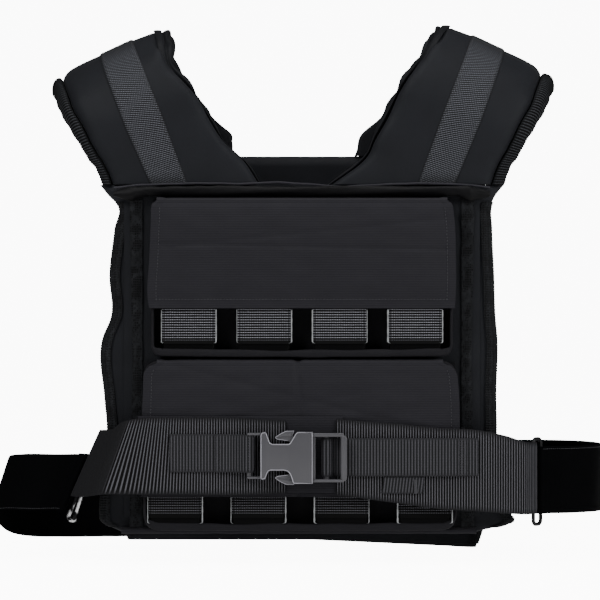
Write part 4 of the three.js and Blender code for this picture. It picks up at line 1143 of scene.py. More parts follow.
def block_centres():
    for row, pitch, middle, foot in (
        ("upper", 75.7, 0.0, UPPER_FOOT),
        ("lower", 83.5, (LOWER_LEFT + LOWER_RIGHT) / 2, LOWER_FOOT),
    ):
        for i in range(4):
            yield row, i + 1, middle + (i - 1.5) * pitch, foot + POCKET_WALL + GAP


def make_blocks():
    back = POCKET_BACK_Y - POCKET_WALL - GAP - SLEEVE_WALL - GAP
    for row, number, centre, foot in block_centres():
        name = f"{row}_block_{number}"
        half = BLOCK_WIDTH / 2
        outline = rounded_box(centre - half, centre + half, foot, foot + BLOCK_HEIGHT, 4, 5)
        piece = outline_solid(name + "_iron", outline, back, back - BLOCK_DEPTH, finish("iron"), 2.0, 4)
        keep(piece, "iron", name)


# Radii of the thin light tubes on the left and the right edge of each sleeve: painted highlights for the
# glints on the blocks' glossy edges
GLINT_STRIP_RADII = {-1: (0.45, 0.35, 0.9, 0.95), 1: (0.7, 0.8, 0.4, 0.8)}


def make_sleeves():
    for row, number, centre, foot in block_centres():
        name = f"{row}_sleeve_{number}"
        outer, inner = sleeve_loops(centre, foot + SLEEVE_LIFT, SLEEVE_HEIGHT)
        shell = Shell()
        around = np.concatenate([outer, inner[::-1]])
        uv = np.stack([run_length(around, 1), run_length(around, 0)], -1)
        # The bottom rows of the outer face get no ribs and the darkest webbing colour, a painted shadow at
        # each sleeve's foot; the inner face stays plain.
        lit = ease(np.arange(len(outer)), 6, 14)
        mask = np.concatenate([lit, np.zeros(len(inner))])[:, None]
        z_run = around[..., 2] * MM
        uv = np.stack([uv[..., 0], z_run], -1)
        shell.grid(np.concatenate([around, around[:1]]), np.concatenate([uv, uv[:1]]), closed=True,
                   ribbed=np.concatenate([mask, mask[:1]]), run=np.concatenate([z_run, z_run[:1]]))
        # The lower row takes the darkened copy of the sleeve webbing, its painted shade.
        material = finish("sleeve" if row == "upper" else "painted_shade_low_sleeve")
        piece = ribs(shell.object(name + "_webbing", material), sizes().sleeve_pitch, COARSE_RIB)
        keep(piece, "webbing", name)
    # Thin light tubes down the sleeves' front corners, hooked inwards at the foot: painted highlights for
    # the glints on the blocks' glossy edges.
    turns = np.linspace(0, 2 * math.pi, 11)[:-1]
    shell = Shell()
    front = POCKET_BACK_Y - POCKET_WALL - 2 * (GAP + SLEEVE_WALL) - BLOCK_DEPTH - 0.6
    for row, number, centre, foot in block_centres():
        for sign in (-1, 1):
            low = foot + SLEEVE_LIFT + (2.0 if row == "upper" else -4.0)
            high = foot + SLEEVE_LIFT + (34.0 if row == "upper" else 26.0)
            side = sign * (BLOCK_WIDTH / 2 + GAP + SLEEVE_WALL - 0.4)
            path = [(centre + side - sign * 2.2, low - 1.4), (centre + side - sign * 0.7, low - 1.0)]
            path += [(centre + side, z) for z in np.linspace(low, high, 12)]
            loops = []
            for i, (x, z) in enumerate(path):
                thick = GLINT_STRIP_RADII[sign][number - 1] * (0.8 + 0.2 * math.sin(i * 1.9 + number + sign))
                loops.append(stack(x + thick * np.cos(turns), front + thick * np.sin(turns), z + 0 * turns))
            shell.tube(np.stack(loops))
    keep(shell.object("sleeve_edge_glint_strips", finish("gloss")), "iron")


# Flaps

# Share of the fall, and the half width left and right as shares of the flap's
FLAP_ROWS = [(0, 0.985, 0.985), (0.2, 0.99, 1.0), (0.55, 1.0, 1.008), (0.9, 1.01, 1.005), (1, 1.0, 1.0)]


class Flap:
    """A cloth flap from the cover over the top of its compartment and down its front."""

    SEAM_INSET = 8.5

    def __init__(self, left, right, top, length, seed, creases, round_corner=2.0):
        self.middle, self.half = (left + right) / 2, (right - left) / 2
        self.top, self.length, self.seed, self.creases = top, length, seed, creases
        self.round_corner = round_corner

    def point(self, u, run, out):
        """u is the share across, run the way in millimetres from the back of the fold, out 0 or 1."""
        fold = 3.0
        shelf = (COVER_Y - GAP) - FLAP_Y - fold
        arc = fold * math.pi / 2
        turn = np.clip((run - shelf) / fold, 0, math.pi / 2)
        down = np.clip(run - shelf - arc, 0, None)
        share = np.clip(down / (self.length - fold), 0, 1)
        ny, nz = -np.sin(turn), np.cos(turn)
        y = np.where(run < shelf, COVER_Y - GAP - run, FLAP_Y + fold * (1 - np.sin(turn)))
        z = self.top + GAP - fold + fold * np.cos(turn) - down
        spots = column(FLAP_ROWS, 0)
        edge_left = self.middle - self.half * curve_value(spots, column(FLAP_ROWS, 1), share)
        edge_right = self.middle + self.half * curve_value(spots, column(FLAP_ROWS, 2), share)
        near_top = np.clip(1 - down / self.round_corner, 0, 1)
        tuck = self.round_corner * (1 - np.sqrt(1 - near_top ** 2))
        x = mix(edge_left + tuck, edge_right - tuck, u)
        border = ease(np.minimum(u, 1 - u), 0, 0.12) * ease(np.minimum(share, 1 - share), 0, 0.25)
        swell = FLAP_BULGE * border * 0.8 * (share > 0)
        side = np.minimum(u, 1 - u) * 2 * self.half
        wrinkle = 0.45 * ripple(x, z, 70, self.seed) + 0.25 * ripple(x * 0.35, z, 22, self.seed + 1)
        wrinkle = wrinkle * ease(side, 2, 26) * ease(share, 0, 0.12)
        for cx, cz, width, depth, tilt in self.creases:
            away = (z - cz) * math.cos(tilt) + (x - cx) * math.sin(tilt)
            wrinkle = wrinkle - depth * np.exp(-((away / width) ** 2)) * ease(side, 0, 12)
        hem = 0.35 * ease(down, self.length - 12, self.length - 10.5)
        side_hem = 0.35 * (1 - ease(side, self.SEAM_INSET, 10))
        seam = np.exp(-((down - (self.length - 9)) / 1.6) ** 2)
        side_seam = np.exp(-((side - self.SEAM_INSET) / 1.6) ** 2)
        wall = mix(0.6, 1.65, ease(share, 0, 0.05))
        skin = out * (wall + np.maximum(hem, side_hem) - 0.3 * (seam + side_seam))
        reach = skin + swell + np.clip(wrinkle, -1.2, 1.3) + 0.6
        return stack(x, y + ny * reach, z + nz * reach)

    def build(self, name, node_name):
        total = (COVER_Y - GAP) - FLAP_Y - 3.0 + 3.0 * math.pi / 2 + self.length - 3.0
        u, v = shares(190, 150)
        spread = v * total
        piece = sheet_piece(name, "cloth", self.point(u, spread, 1), self.point(u, spread, 0), "nylon",
                            node_name)
        inset = self.SEAM_INSET / (2 * self.half)
        begin, end = total - self.length + 10, total - 9
        down = np.linspace(begin, end, 120)
        level = np.linspace(inset, 1 - inset, 200)
        nudge = np.array([0, -0.1, 0])
        lines = [
            self.point(np.full_like(down, inset), down, 1) + nudge,
            self.point(np.full_like(down, 1 - inset), down, 1) + nudge,
            self.point(level, np.full_like(level, end), 1) + nudge,
        ]
        stitches(name + "_stitches", lines)
        return piece


def make_flaps():
    upper = Flap(-POCKET_HALF, POCKET_HALF, UPPER_TOP, 110.0, 31,
                 [(-20, -185, 2.2, 0.9, 0.02), (60, -166, 3.0, 0.6, -0.1), (0, -142, 5.0, 0.7, 0.0)],
                 round_corner=5.0)
    upper.build("upper_flap_cloth", "upper_flap")
    lower = Flap(LOWER_LEFT, LOWER_RIGHT, LOWER_TOP, 136.0, 41,
                 [(-4, -340, 3.0, 2.0, math.pi / 2), (-60, -322, 4.0, 0.6, 0.25),
                  (70, -330, 4.0, 0.5, -0.2)],
                 round_corner=13.0)
    lower.build("lower_flap_cloth", "lower_flap")


# Belt, rings and side bands

# Share of the belt's reach, setback, fall of top and of foot, and lean
BELT_ROWS = {
    "left": [
        (0.07, 0, 0.02, -0.02, 0), (0.35, 0, -0.02, 0.0, 0), (0.52, 0, -0.02, -0.01, 0.03),
        (0.62, 0, -0.02, -0.01, 0.1), (0.69, 0, -0.01, -0.01, 0.2), (0.75, 0, 0.01, -0.01, 0.34),
        (0.79, 0.12, 0.05, 0.01, 0.36), (0.82, 0.34, 0.12, 0.03, 0.38), (0.858, 0.62, 0.16, 0.04, 0.39),
    ],
    "right": [
        (0.15, 0, 0.0, 0.0, 0), (0.4, 0, 0.06, 0.1, 0), (0.62, 0, 0.12, 0.19, 0),
        (0.75, 0, 0.14, 0.21, 0), (0.89, 0.2, 0.22, 0.25, 0), (0.995, 0.5, 0.32, 0.27, 0),
    ],
}
# Reach of a belt end, how far the end lies back, and length of webbing folded back behind a ring
BELT_REACH, BELT_SETBACK, FOLD_BACK = 229.0, 34.0, 20.0
RING_WIRE, RING_PITCH, RING_OVERHANG = 4.0, 13.0, 3.0
# How far each ring hangs below the belt, and which way the belt heads there
RING_DROP = {"left": 22.0, "right": 8.0}
RING_HEADING = {"left": math.pi - 1.0, "right": 0.9}
BAND_WALL, BAND_HEIGHT, BAND_LAP = 2.0, 72.0, 60.0
# Reach of each side band, and the share it is taken in behind
BAND_REACH = {"left": 306.0, "right": 309.5}
BAND_TUCK = {"left": 0.05, "right": 0.0}
# Fall of the band's top edge and its height at the ring, and its sag towards the back
BAND_START = {"left": (25.0, 57.0), "right": (5.0, 68.0)}
BAND_SAG = {"left": 23.0, "right": 0.0}


def belt_sections(side, sign):
    """Sections of one half of the belt: x, y, top, foot and lean."""
    return [
        (sign * reach * BELT_REACH, BELT_Y - BELT_WALL / 2 + BELT_SETBACK * back,
         BELT_TOP - top * BELT_HEIGHT, BELT_FOOT - foot * BELT_HEIGHT, sign * lean * BELT_HEIGHT)
        for reach, back, top, foot, lean in BELT_ROWS[side]
    ]


def fold_round(leg, heading, turn_side, wall, like, length):
    """Sections that carry a band on round a ring's leg and back."""
    radius = RING_WIRE / 2 + GAP + wall / 2
    ahead = np.array([math.cos(heading), math.sin(heading)])
    outward = np.array([ahead[1], -ahead[0]]) * turn_side
    places = [(-RING_WIRE, radius)]
    for turn in np.linspace(0, math.pi, 9):
        places.append((radius * math.sin(turn), radius * math.cos(turn)))
    places.append((-length, -radius))
    return [(*(leg + ahead * a + outward * o), *like) for a, o in places]


def ring_legs(side, sign):
    """Where the two legs of a ring stand, which way the belt heads there, and the belt's end section."""
    last = belt_sections(side, sign)[-1]
    heading = RING_HEADING[side]
    radius = RING_WIRE / 2 + GAP + BELT_WALL / 2
    ahead = np.array([math.cos(heading), math.sin(heading)])
    inward = np.array([-ahead[1], ahead[0]]) * sign
    inner = np.array(last[:2]) + ahead * RING_PITCH + inward * radius
    return inner, inner + ahead * RING_PITCH, heading, last[2:]


def band_grids(sections, wall, columns, rows, relief=None):
    """Front and back grids of a band through sections: x, y, top, foot and lean."""
    data = np.array(sections, float)
    steps = np.hypot(*np.diff(data[:, :2], axis=0).T)
    run = np.concatenate([[0], np.cumsum(steps)])
    s = np.linspace(0, run[-1], columns + 1)
    x, y, top, foot, lean = (curve_value(run, data[:, k], s) for k in range(5))
    dx, dy = np.gradient(x, s), np.gradient(y, s)
    size = np.hypot(dx, dy)
    nx, ny = dy / size, -dx / size
    v = np.linspace(0, 1, rows + 1)[:, None]
    side = v * 2 - 1
    thin = np.where(np.abs(side) > 0.97, 0.55, 1.0)
    z = mix(top[None], foot[None], v)
    bend = 0 if relief is None else relief(s[None], z)

    def face(sign):
        reach = sign * wall / 2 * thin + bend
        return stack(x[None] + lean[None] * v + reach * nx[None], y[None] + reach * ny[None], z)

    return face(1), face(-1), s


def band(name, material, sections, wall, columns, rows, slot_name, nodes, held, flat_height,
         rib=None, relief=None, rests_on=(), ribbed=None):
    front, back, s = band_grids(sections, wall, columns, rows, relief)
    v = np.linspace(0, 1, rows + 1)[:, None]
    run = np.broadcast_to(s[None] * MM, front.shape[:2])
    height = np.broadcast_to(v * flat_height * MM, front.shape[:2])
    uv = np.stack([height, run], -1)
    mask = ease(np.minimum(v, 1 - v), 0.0, 0.03) + 0 * run
    if ribbed:
        mask = mask * ribbed(s)
    shell = Shell()
    shell.slab(front, back, uv, ribbed=mask, run=run)
    piece = shell.object(name, material)
    if rib:
        ribs(piece, *rib)
    keep(piece, slot_name, *nodes)
    return piece


def smooth_turn(s):
    """The left end of the belt loses its ribs past the slanting fold."""
    return 1 - ease(s, 156.0, 158.5)


def make_belt():
    half = 164.0
    sections = [(x, UNDERLAY_Y - UNDERLAY_WALL / 2, BELT_TOP + 3, BELT_FOOT + 2, 0)
                for x in (-half, -half / 2, 0, half / 4)]

    def slack(s, z):
        return 0.25 * ripple(s, z, 60, 51)

    band("belt_backing", finish("cloth"), sections, 1.2, 120, 24, "nylon", ["belt_underlay"],
         "laid", 77.0, relief=slack, rests_on=["lower_flap_cloth"])
    for side, sign in SIDES:
        inner, _, heading, like = ring_legs(side, sign)
        sections = belt_sections(side, sign)
        sections += fold_round(inner, heading, sign, BELT_WALL, like, FOLD_BACK)
        length = sum(math.dist(a[:2], b[:2]) for a, b in zip(sections, sections[1:]))
        columns = int(length / 0.45)
        ribbed = smooth_turn if side == "left" else None
        band(f"belt_{side}_webbing", finish("webbing"), sections, 1.2, columns, 14, "webbing",
             ["belt_" + side], "laid", BELT_HEIGHT, (sizes().rib_pitch, sizes().rib_height),
             rests_on=["belt_backing"], ribbed=ribbed)


def make_rings():
    for side, sign in SIDES:
        inner, outer, heading, (top, foot, lean) = ring_legs(side, sign)
        high, low = top + RING_OVERHANG, foot - RING_OVERHANG - RING_DROP[side]
        corner = RING_PITCH / 3
        route = []
        for across, z, start in (
            (RING_PITCH - corner, high - corner, 0), (corner, high - corner, 90),
            (corner, low + corner, 180), (RING_PITCH - corner, low + corner, 270),
        ):
            for i in range(9):
                turn = math.radians(start + 90 * i / 8)
                route.append((across + corner * math.cos(turn), z + corner * math.sin(turn)))
        route = np.array(route)
        if side == "left":
            band_top = top - BAND_START[side][0]
            route[:, 0] *= 1 - 0.9 * ease(route[:, 1], band_top - 8, band_top + 4)
            route[:, 1] = np.minimum(route[:, 1], top - 3 + 0.1 * (route[:, 1] - high))
        leg = inner + (outer - inner) * (route[:, :1] / RING_PITCH)
        share = (top - route[:, 1]) / (top - foot)
        x = leg[:, 0] + lean * np.where(share > 1, 1 - 0.1 * (share - 1), share)
        path = stack(x, leg[:, 1], route[:, 1])
        normal = np.array([-math.sin(heading), math.cos(heading), 0])
        ahead = np.roll(path, -1, 0) - np.roll(path, 1, 0)
        sideways = np.cross(ahead, normal)
        sideways /= np.linalg.norm(sideways, axis=1)[:, None]
        turns = np.linspace(0, 2 * math.pi, 17)[:-1]
        radius = RING_WIRE / 2
        loops = (path[:, None] + normal * (radius * np.cos(turns))[None, :, None]
                 + sideways[:, None] * (radius * np.sin(turns))[None, :, None])
        shell = Shell()
        shell.ring(loops)
        material = finish("highlight_patched_steel" if side == "left" else "dark_steel")
        keep(shell.object("ring_" + side + "_wire", material), "ring", "ring_" + side)


def band_slack(s, z):
    return 0.5 * ripple(s, z, 75, 61) * ease(s, 40, 80)


def make_side_bands():
    bend = [(0.4, 0.84, 0.98), (0.78, 0.58, 0.95), (0.95, 0.27, 0.8), (1, 0, 0.5),
            (0.96, -0.35, 0.2), (0.8, -0.68, 0.05), (0.5, -0.92, 0)]
    for side, sign in SIDES:
        _, outer, heading, like = ring_legs(side, sign)
        radius = RING_WIRE / 2 + GAP + BAND_WALL / 2
        drop, height = BAND_START[side]
        start_top = like[0] - drop
        slope = like[2] / (like[0] - like[1])
        folded = fold_round(outer, heading + math.pi, -sign, BAND_WALL, like, FOLD_BACK)[::-1]
        sections = [(row[0] + slope * drop, row[1], start_top, start_top - height, slope * height)
                    for row in folded]
        back_y = -COVER_Y + GAP + BAND_WALL / 2
        start_x, start_y = sign * outer[0], outer[1] - radius
        back_top = start_top - BAND_SAG[side]
        for reach, depth, hold in bend:
            reach = reach * (1 - BAND_TUCK[side] * float(ease(depth, 0.3, 0.0)))
            y = start_y * depth if depth > 0 else back_y * -depth
            sections.append((
                sign * mix(start_x, BAND_REACH[side], reach), y,
                mix(back_top, start_top, hold), mix(back_top - BAND_HEIGHT, start_top - height, hold),
                slope * height * hold))
        for inset in (0, BAND_LAP):
            sections.append((sign * (BACK_HALF - inset), back_y, back_top, back_top - BAND_HEIGHT, 0))
        band(f"side_band_{side}_cloth", finish("band"), sections, 1.6, 260, 28, "band",
             ["side_band_" + side], "draped", BAND_HEIGHT, relief=band_slack, rests_on=["back_panel_cover"])
        front, back, _ = band_grids(sections, 1.6, 260, 28, band_slack)
        skin = front if sign > 0 else back
        hem = skin[27 if side == "left" else 1]
        hem = hem[(hem[:, 1] < 20.0) & (np.arange(len(hem)) > 20)]
        stitches(f"side_band_{side}_stitches", [hem + np.array([sign * 0.15, -0.25, 0])], "band", 0.0022)


# Narrow straps and buckle

STRAP_HEIGHT = 38.0
# Places across and in depth of the left strap, from its seam round the socket's bar and back
LEFT_STRAP_PATH = [
    (-132.0, -114.1), (-92.4, -114.1), (-50.5, -114.1), (-48.6, -114.9), (-48.3, -118.45), (-48.6, -122.0),
    (-50.8, -123.25), (-54.8, -123.25), (-62.5, -119.5), (-70.5, -116.0), (-85.8, -116.0),
]
STRAP_MIDDLE = STRAP_Y - STRAP_WALL / 2
SOCKET_LEFT, SOCKET_RIGHT = -54.5, 10.5
PLUG_LEFT, PLUG_RIGHT = 10.8, 44.8
LADDER_X = PLUG_LEFT + 13.5
BAR_RADIUS = 3.0
WRAP_RADIUS = BAR_RADIUS + GAP + STRAP_WALL / 2
LADDER_Y = STRAP_MIDDLE - WRAP_RADIUS
UPPER_LAYER = STRAP_MIDDLE - STRAP_WALL - GAP


def flat_section(x, y=STRAP_MIDDLE, lift=0.0):
    return (x, y, BELT_Z + STRAP_HEIGHT / 2 + lift, BELT_Z - STRAP_HEIGHT / 2 + lift, 0)


def make_straps():
    lift = 4.0
    sections = [flat_section(x, y, lift) for x, y in LEFT_STRAP_PATH]
    band("strap_left_webbing", finish("strap"), sections, 1.3, 330, 12, "webbing", ["strap_left"],
         "laid", STRAP_HEIGHT, STRAP_RIB, rests_on=["belt_left_webbing"])

    sections = [flat_section(x) for x in (176.0, 105.6, PLUG_RIGHT, LADDER_X)]
    for i in range(1, 10):
        turn = math.pi / 2 + 1.25 * math.pi * i / 9
        sections.append(flat_section(LADDER_X + WRAP_RADIUS * math.cos(turn),
                                     LADDER_Y + WRAP_RADIUS * math.sin(turn)))
    for x in (LADDER_X + WRAP_RADIUS + 3.5, PLUG_RIGHT + 4, 80.0, 164.0):
        sections.append(flat_section(x, UPPER_LAYER))
    band("strap_right_webbing", finish("strap"), sections, 1.3, 700, 12, "webbing", ["strap_right"],
         "laid", STRAP_HEIGHT, STRAP_RIB, rests_on=["belt_right_webbing"])

    foot = BELT_Z - STRAP_HEIGHT / 2
    sections = [(x, STRAP_MIDDLE, foot - GAP, foot - GAP - 17.0, -2) for x in (82.0, 102.0, 122.0)]
    band("strap_end_webbing", finish("strap"), sections, 1.3, 90, 8, "webbing", ["strap_tail"],
         "laid", 17.0, STRAP_RIB, rests_on=["belt_right_webbing"])
    u, v = shares(6, 24)
    x, z = mix(112.0, 115.0, u), mix(foot - GAP - 3, foot - GAP - 17, v)
    bow = 0.3 * np.sin(math.pi * v)
    y = STRAP_Y - STRAP_WALL - GAP
    sheet_piece("tail_tag_cloth", "thread", stack(x, y - 0.7 - bow, z), stack(x, y, z), "band", "tail_tag")

    top, low = BELT_Z + STRAP_HEIGHT / 2, BELT_Z - STRAP_HEIGHT / 2
    lines = []
    for x in (-82.0, -53.0):
        y = UPPER_LAYER - 0.9 - (7.4 if x > -60 else 0)
        lines.append([(x, y, z + lift) for z in (top - 3, low + 3)])
    stitches("strap_left_stitches", lines, "webbing", 0.0026)
    lines = [[(x, UPPER_LAYER - 1.0, z) for z in (top - 2, low + 2)] for x in (156.5, 158.5, 160.5)]
    stitches("strap_right_stitches", lines, "webbing", 0.0024)


def highlight_beads(name, lines):
    """Light worn beads along the front edges of the plastic: outline, depth and radius of each."""
    turns = np.linspace(0, 2 * math.pi, 9)[:-1]
    shell = Shell()
    for outline, depth, radius in lines:
        points = np.array(outline, float)
        middle = points.mean(0)
        points = np.concatenate([points, points[:1]]) if len(points) > 12 else points
        inset = points + (middle - points) * 0.012
        loops = []
        for i, (x, z) in enumerate(inset):
            before, after = inset[max(i - 1, 0)], inset[min(i + 1, len(inset) - 1)]
            ahead = (after - before) / (np.linalg.norm(after - before) + 1e-9)
            side = radius * np.cos(turns)
            loops.append(stack(x - ahead[1] * side, depth + radius * np.sin(turns), z + ahead[0] * side))
        shell.tube(np.stack(loops))
    return keep(shell.object(name, finish("painted_edge_highlight")), "plastic")


def make_buckle():
    plastic = finish("plastic")
    top, foot = BELT_Z + 25.5, BELT_Z - 25.5
    front, back = BUCKLE_Y - 14.0, BUCKLE_Y

    # Socket: waisted body with a sloping notch above and below and two short arms
    body_left = SOCKET_LEFT + 13.5
    notch_top, notch_foot = top - 12.0, foot + 13.4
    outline = [
        (body_left, top - 2.8), (body_left + 1.2, top - 0.6), (body_left + 3.8, top),
        (body_left + 4.9, top - 0.8), (body_left + 7.9, top - 9), (body_left + 9.2, top - 11),
        (body_left + 11.7, notch_top), (body_left + 27.7, notch_top), (body_left + 29.4, top - 11.2),
        (body_left + 30.7, top - 9), (body_left + 35.2, top - 1.5), (body_left + 36.7, top),
        (SOCKET_RIGHT, top), (SOCKET_RIGHT, foot), (body_left + 33.6, foot), (body_left + 32.5, foot + 1),
        (body_left + 30.7, foot + 7), (body_left + 28.6, foot + 10.8), (body_left + 26.5, foot + 12.6),
        (body_left + 23.1, notch_foot), (body_left + 9.4, notch_foot), (body_left + 7.2, notch_foot - 1),
        (body_left + 5.6, foot + 9.6), (body_left + 3.8, foot + 4.7), (body_left + 1.2, foot + 4.2),
        (body_left, foot + 5.2),
    ]
    body = outline_solid("socket_body", outline, back, front, plastic, 1.5, 4)
    parts = [body]
    for z0, z1 in ((top - 3.2, top - 1.0), (foot + 4.4, foot + 6.6)):
        arm = [(SOCKET_LEFT, (z0 + z1) / 2 - 0.6), (SOCKET_LEFT + 1.5, z0), (body_left + 3, z0),
               (body_left + 3, z1), (SOCKET_LEFT + 3, z1), (SOCKET_LEFT, (z0 + z1) / 2 + 0.6)]
        parts.append(outline_solid("socket_arm", arm, back - 1, front + 4, plastic, 0.7, 3))
    bar = rounded_box(SOCKET_LEFT, SOCKET_LEFT + 4.0, foot + 6, top - 2, 1.2, 3)
    parts.append(outline_solid("socket_bar", bar, -115.4, -121.5, plastic, 1.5, 3))
    lip = rounded_box(SOCKET_RIGHT - 1.8, SOCKET_RIGHT + 0.4, foot - 0.2, top + 0.2, 0.8, 3)
    parts.append(outline_solid("socket_lip", lip, back - 0.5, front - 0.2, plastic, 0.6, 3))
    keep(joined("buckle_socket_body", parts), "plastic", "buckle_socket")
    # Light beads round the socket's front edge: painted highlight.
    highlight_beads("buckle_socket_edge_highlights", [(outline, front + 0.1, 0.55)])

    # Plug: frame, ladder bar and two sprung prongs with ridges
    middle = BUCKLE_Y - 7.0
    plug_top, plug_foot = top - 1.0, foot + 1.0
    face = front + 2.0
    parts = []
    for z0, z1 in ((plug_top - 3.6, plug_top - 0.2), (plug_foot + 0.2, plug_foot + 2.8)):
        rail = rounded_box(PLUG_LEFT - 1.0, PLUG_RIGHT - 3.0, z0, z1, 1.4, 3)
        parts.append(outline_solid("plug_rail", rail, back - 0.5, face, plastic, 1.2, 3))
    end = rounded_box(PLUG_RIGHT - 6.2, PLUG_RIGHT, plug_foot + 1.4, plug_top - 2.4, 3.0, 5)
    parts.append(outline_solid("plug_end", end, UPPER_LAYER - 1.4, face, plastic, 1.4, 4))
    shoulder = rounded_box(PLUG_LEFT - 0.5, PLUG_LEFT + 2.6, plug_foot + 0.6, plug_top - 0.6, 1.0, 3)
    parts.append(outline_solid("plug_shoulder", shoulder, back - 1.5, face + 2, plastic, 0.8, 3))
    turns = np.linspace(0, 2 * math.pi, 19)[:-1]
    rows = np.linspace(plug_foot + 3, plug_top - 3, 4)
    loops = np.stack([stack(LADDER_X + (BAR_RADIUS - 0.2) * np.cos(turns),
                            LADDER_Y + (BAR_RADIUS - 0.2) * np.sin(turns), z) for z in rows])
    shell = Shell()
    shell.tube(loops)
    parts.append(shell.object("plug_bar", plastic))
    prong_lines = []
    for sign in (1, -1):
        prong = [(2.0, 12), (2.0, 17.5), (-6, 18.5), (-9.9, 21.6), (-7.9, 26.6), (-15.6, 26.4),
                 (-21.0, 23.9), (-26.4, 20.4), (-26.2, 19.6), (-24.0, 18.4), (-14.1, 17.2), (-11, 14)]
        shape = [(x, BELT_Z + sign * z) for x, z in prong]
        parts.append(outline_solid("plug_prong", shape, middle + 3.2, middle - 3.6, plastic, 1.2, 4))
        prong_lines.append((shape[3:11], middle - 3.2, 0.45))
        ridge = [(-11.2, 20.4), (-8.9, 25.7), (-15.4, 25.5), (-20.5, 23.1), (-25.2, 20.3), (-19.5, 21.0),
                 (-14.0, 21.4)]
        shape = [(x, BELT_Z + sign * z) for x, z in ridge]
        parts.append(outline_solid("plug_ridge", shape, middle - 3.0, middle - 4.3, plastic, 0.4, 2))
    keep(joined("buckle_plug_body", parts), "plastic", "buckle_plug")
    # Light beads along the prongs' front edges: painted highlight.
    highlight_beads("buckle_prong_edge_highlights", prong_lines)


# Stage

def glow_where_seen(tree, socket, seen, cast):
    """Strength of the studio's white: what the picture shows of it and what it casts on the vest."""
    seen_ray = node(tree, "ShaderNodeLightPath").outputs["Is Camera Ray"]
    spread = node(tree, "ShaderNodeMapRange", {"Value": seen_ray, "To Min": cast, "To Max": seen})
    tree.links.new(spread.outputs[0], socket)


def make_stage():
    tint = colours().backdrop
    material, tree, shader = new_material("backdrop", tint, 0.9)
    where = coordinates(tree, "Object")
    cloud = noise(tree, where, 3.0, 2.0)
    shade_range(tree, shader, cloud, [c * 0.985 for c in tint], [min(c * 1.01, 1) for c in tint])
    shader.inputs["Emission Color"].default_value = (1, 1, 0.99, 1)
    glow_where_seen(tree, shader.inputs["Emission Strength"], SEEN_WHITE, 0.2)
    ends = np.linspace(-8.0, 8.0, 3) / MM
    shell = Shell()
    shell.grid(stack(ends[None], ends[:, None], -0.505 / MM))
    shell.object("studio_floor", material)

    world = bpy.context.scene.world or bpy.data.worlds.new("Studio")
    bpy.context.scene.world = world
    world.use_nodes = True
    background = world.node_tree.nodes["Background"]
    background.inputs[0].default_value = (1, 1, 1, 1)
    glow_where_seen(world.node_tree, background.inputs[1], SEEN_WHITE, 0.05)

    for name, place, aim, size, power in (
        ("key", (-1.5, -2.0, 1.7), (0, -0.05, -0.2), 1.1, 52),
        ("fill", (2.2, -1.8, 0.8), (0, -0.05, -0.2), 1.2, 46),
        ("top", (0.1, -0.5, 1.8), (0, -0.05, -0.2), 1.0, 22),
    ):
        lamp = bpy.data.lights.new(name, "AREA")
        lamp.size, lamp.energy = size, power
        light = bpy.data.objects.new(name, lamp)
        light.location = place
        away = np.array(place) - np.array(aim)
        yaw = math.atan2(away[0], -away[1])
        pitch = math.atan2(math.hypot(away[0], away[1]), away[2])
        light.rotation_euler = (pitch, 0, yaw)
        bpy.context.scene.collection.objects.link(light)

    data = bpy.data.cameras.new("front view")
    data.sensor_width, data.lens = 36.0, 180.0
    data.clip_end = 50
    camera = bpy.data.objects.new("front view", data)
    camera.location = (-0.002, -3.110, -0.239)
    camera.rotation_euler = (math.radians(90), 0, 0)
    bpy.context.scene.collection.objects.link(camera)
    bpy.context.scene.camera = camera


# Operators

def operator(key, label, text, *steps):
    """An operator class that runs the given steps."""

    def execute(self, context):
        for step in steps:
            step()
        return {"FINISHED"}

    return type("VEST_OT_" + key, (bpy.types.Operator,), {
        "bl_idname": "vest." + key, "bl_label": label, "__doc__": text,
        "bl_options": {"REGISTER", "UNDO"}, "execute": execute})


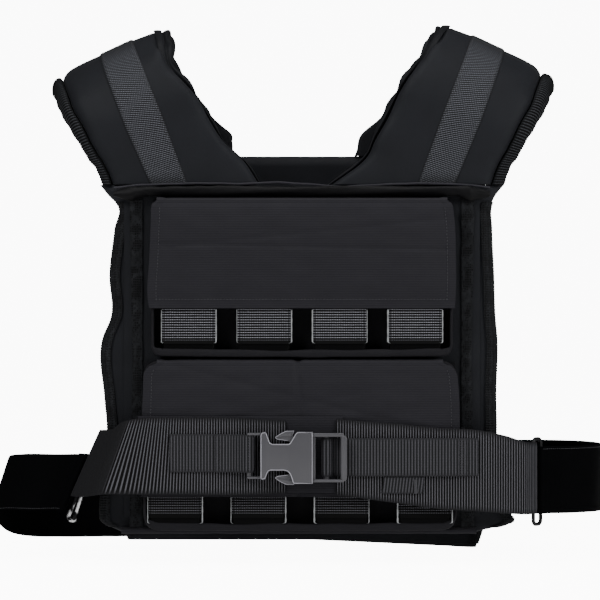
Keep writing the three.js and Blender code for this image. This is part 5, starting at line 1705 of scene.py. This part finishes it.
OPERATORS = [
    operator("stage", "Stage", "Adds the floor, the lights and the camera", make_stage),
    operator("front_panel", "Front panel", "Makes the front panel, its cover and its mesh strips",
             make_front_panel),
    operator("back_panel", "Back panel", "Makes the back panel and its cover", make_back_panel),
    operator("yoke", "Yoke", "Makes the rolled band and the piping on the seam", make_yoke),
    operator("shoulders", "Shoulders", "Makes both shoulder pads with lining and tape", make_shoulders),
    operator("compartments", "Compartments", "Makes both cloth compartments", make_compartments),
    operator("blocks", "Iron blocks", "Makes the eight coated blocks", make_blocks),
    operator("sleeves", "Sleeves", "Makes the webbing sleeves round the blocks", make_sleeves),
    operator("flaps", "Flaps", "Makes both flaps with their stitches", make_flaps),
    operator("belt", "Belt", "Makes the wide ribbed belt and its backing", make_belt),
    operator("rings", "Rings", "Makes the two rings", make_rings),
    operator("side_bands", "Side bands", "Makes the bands from the rings to the back", make_side_bands),
    operator("straps", "Straps", "Makes the narrow straps and the free end", make_straps),
    operator("buckle", "Buckle", "Makes both halves of the side-release buckle", make_buckle),
]


class VEST_PT_panel(bpy.types.Panel):
    """Lists the vest's operators, sizes and colours"""

    bl_label = "Weighted vest"
    bl_idname = "VEST_PT_panel"
    bl_space_type = "VIEW_3D"
    bl_region_type = "UI"
    bl_category = "Vest"

    def draw(self, context):
        for kind in OPERATORS:
            self.layout.operator(kind.bl_idname)
        for group in (context.scene.vest_sizes, context.scene.vest_colours):
            box = self.layout.box()
            for key in group.bl_rna.properties.keys():
                if key not in ("rna_type", "name"):
                    box.prop(group, key)


CLASSES = [VestSizes, VestColours, *OPERATORS, VEST_PT_panel]


def register():
    for kind in CLASSES:
        bpy.utils.register_class(kind)
    bpy.types.Scene.vest_sizes = bpy.props.PointerProperty(type=VestSizes)
    bpy.types.Scene.vest_colours = bpy.props.PointerProperty(type=VestColours)


def unregister():
    del bpy.types.Scene.vest_colours
    del bpy.types.Scene.vest_sizes
    for kind in reversed(CLASSES):
        bpy.utils.unregister_class(kind)


def main():
    register()
    for kind in OPERATORS:
        getattr(bpy.ops.vest, kind.bl_idname.split(".")[1])()
    bpy.context.view_layer.update()


if __name__ == "__main__":
    main()
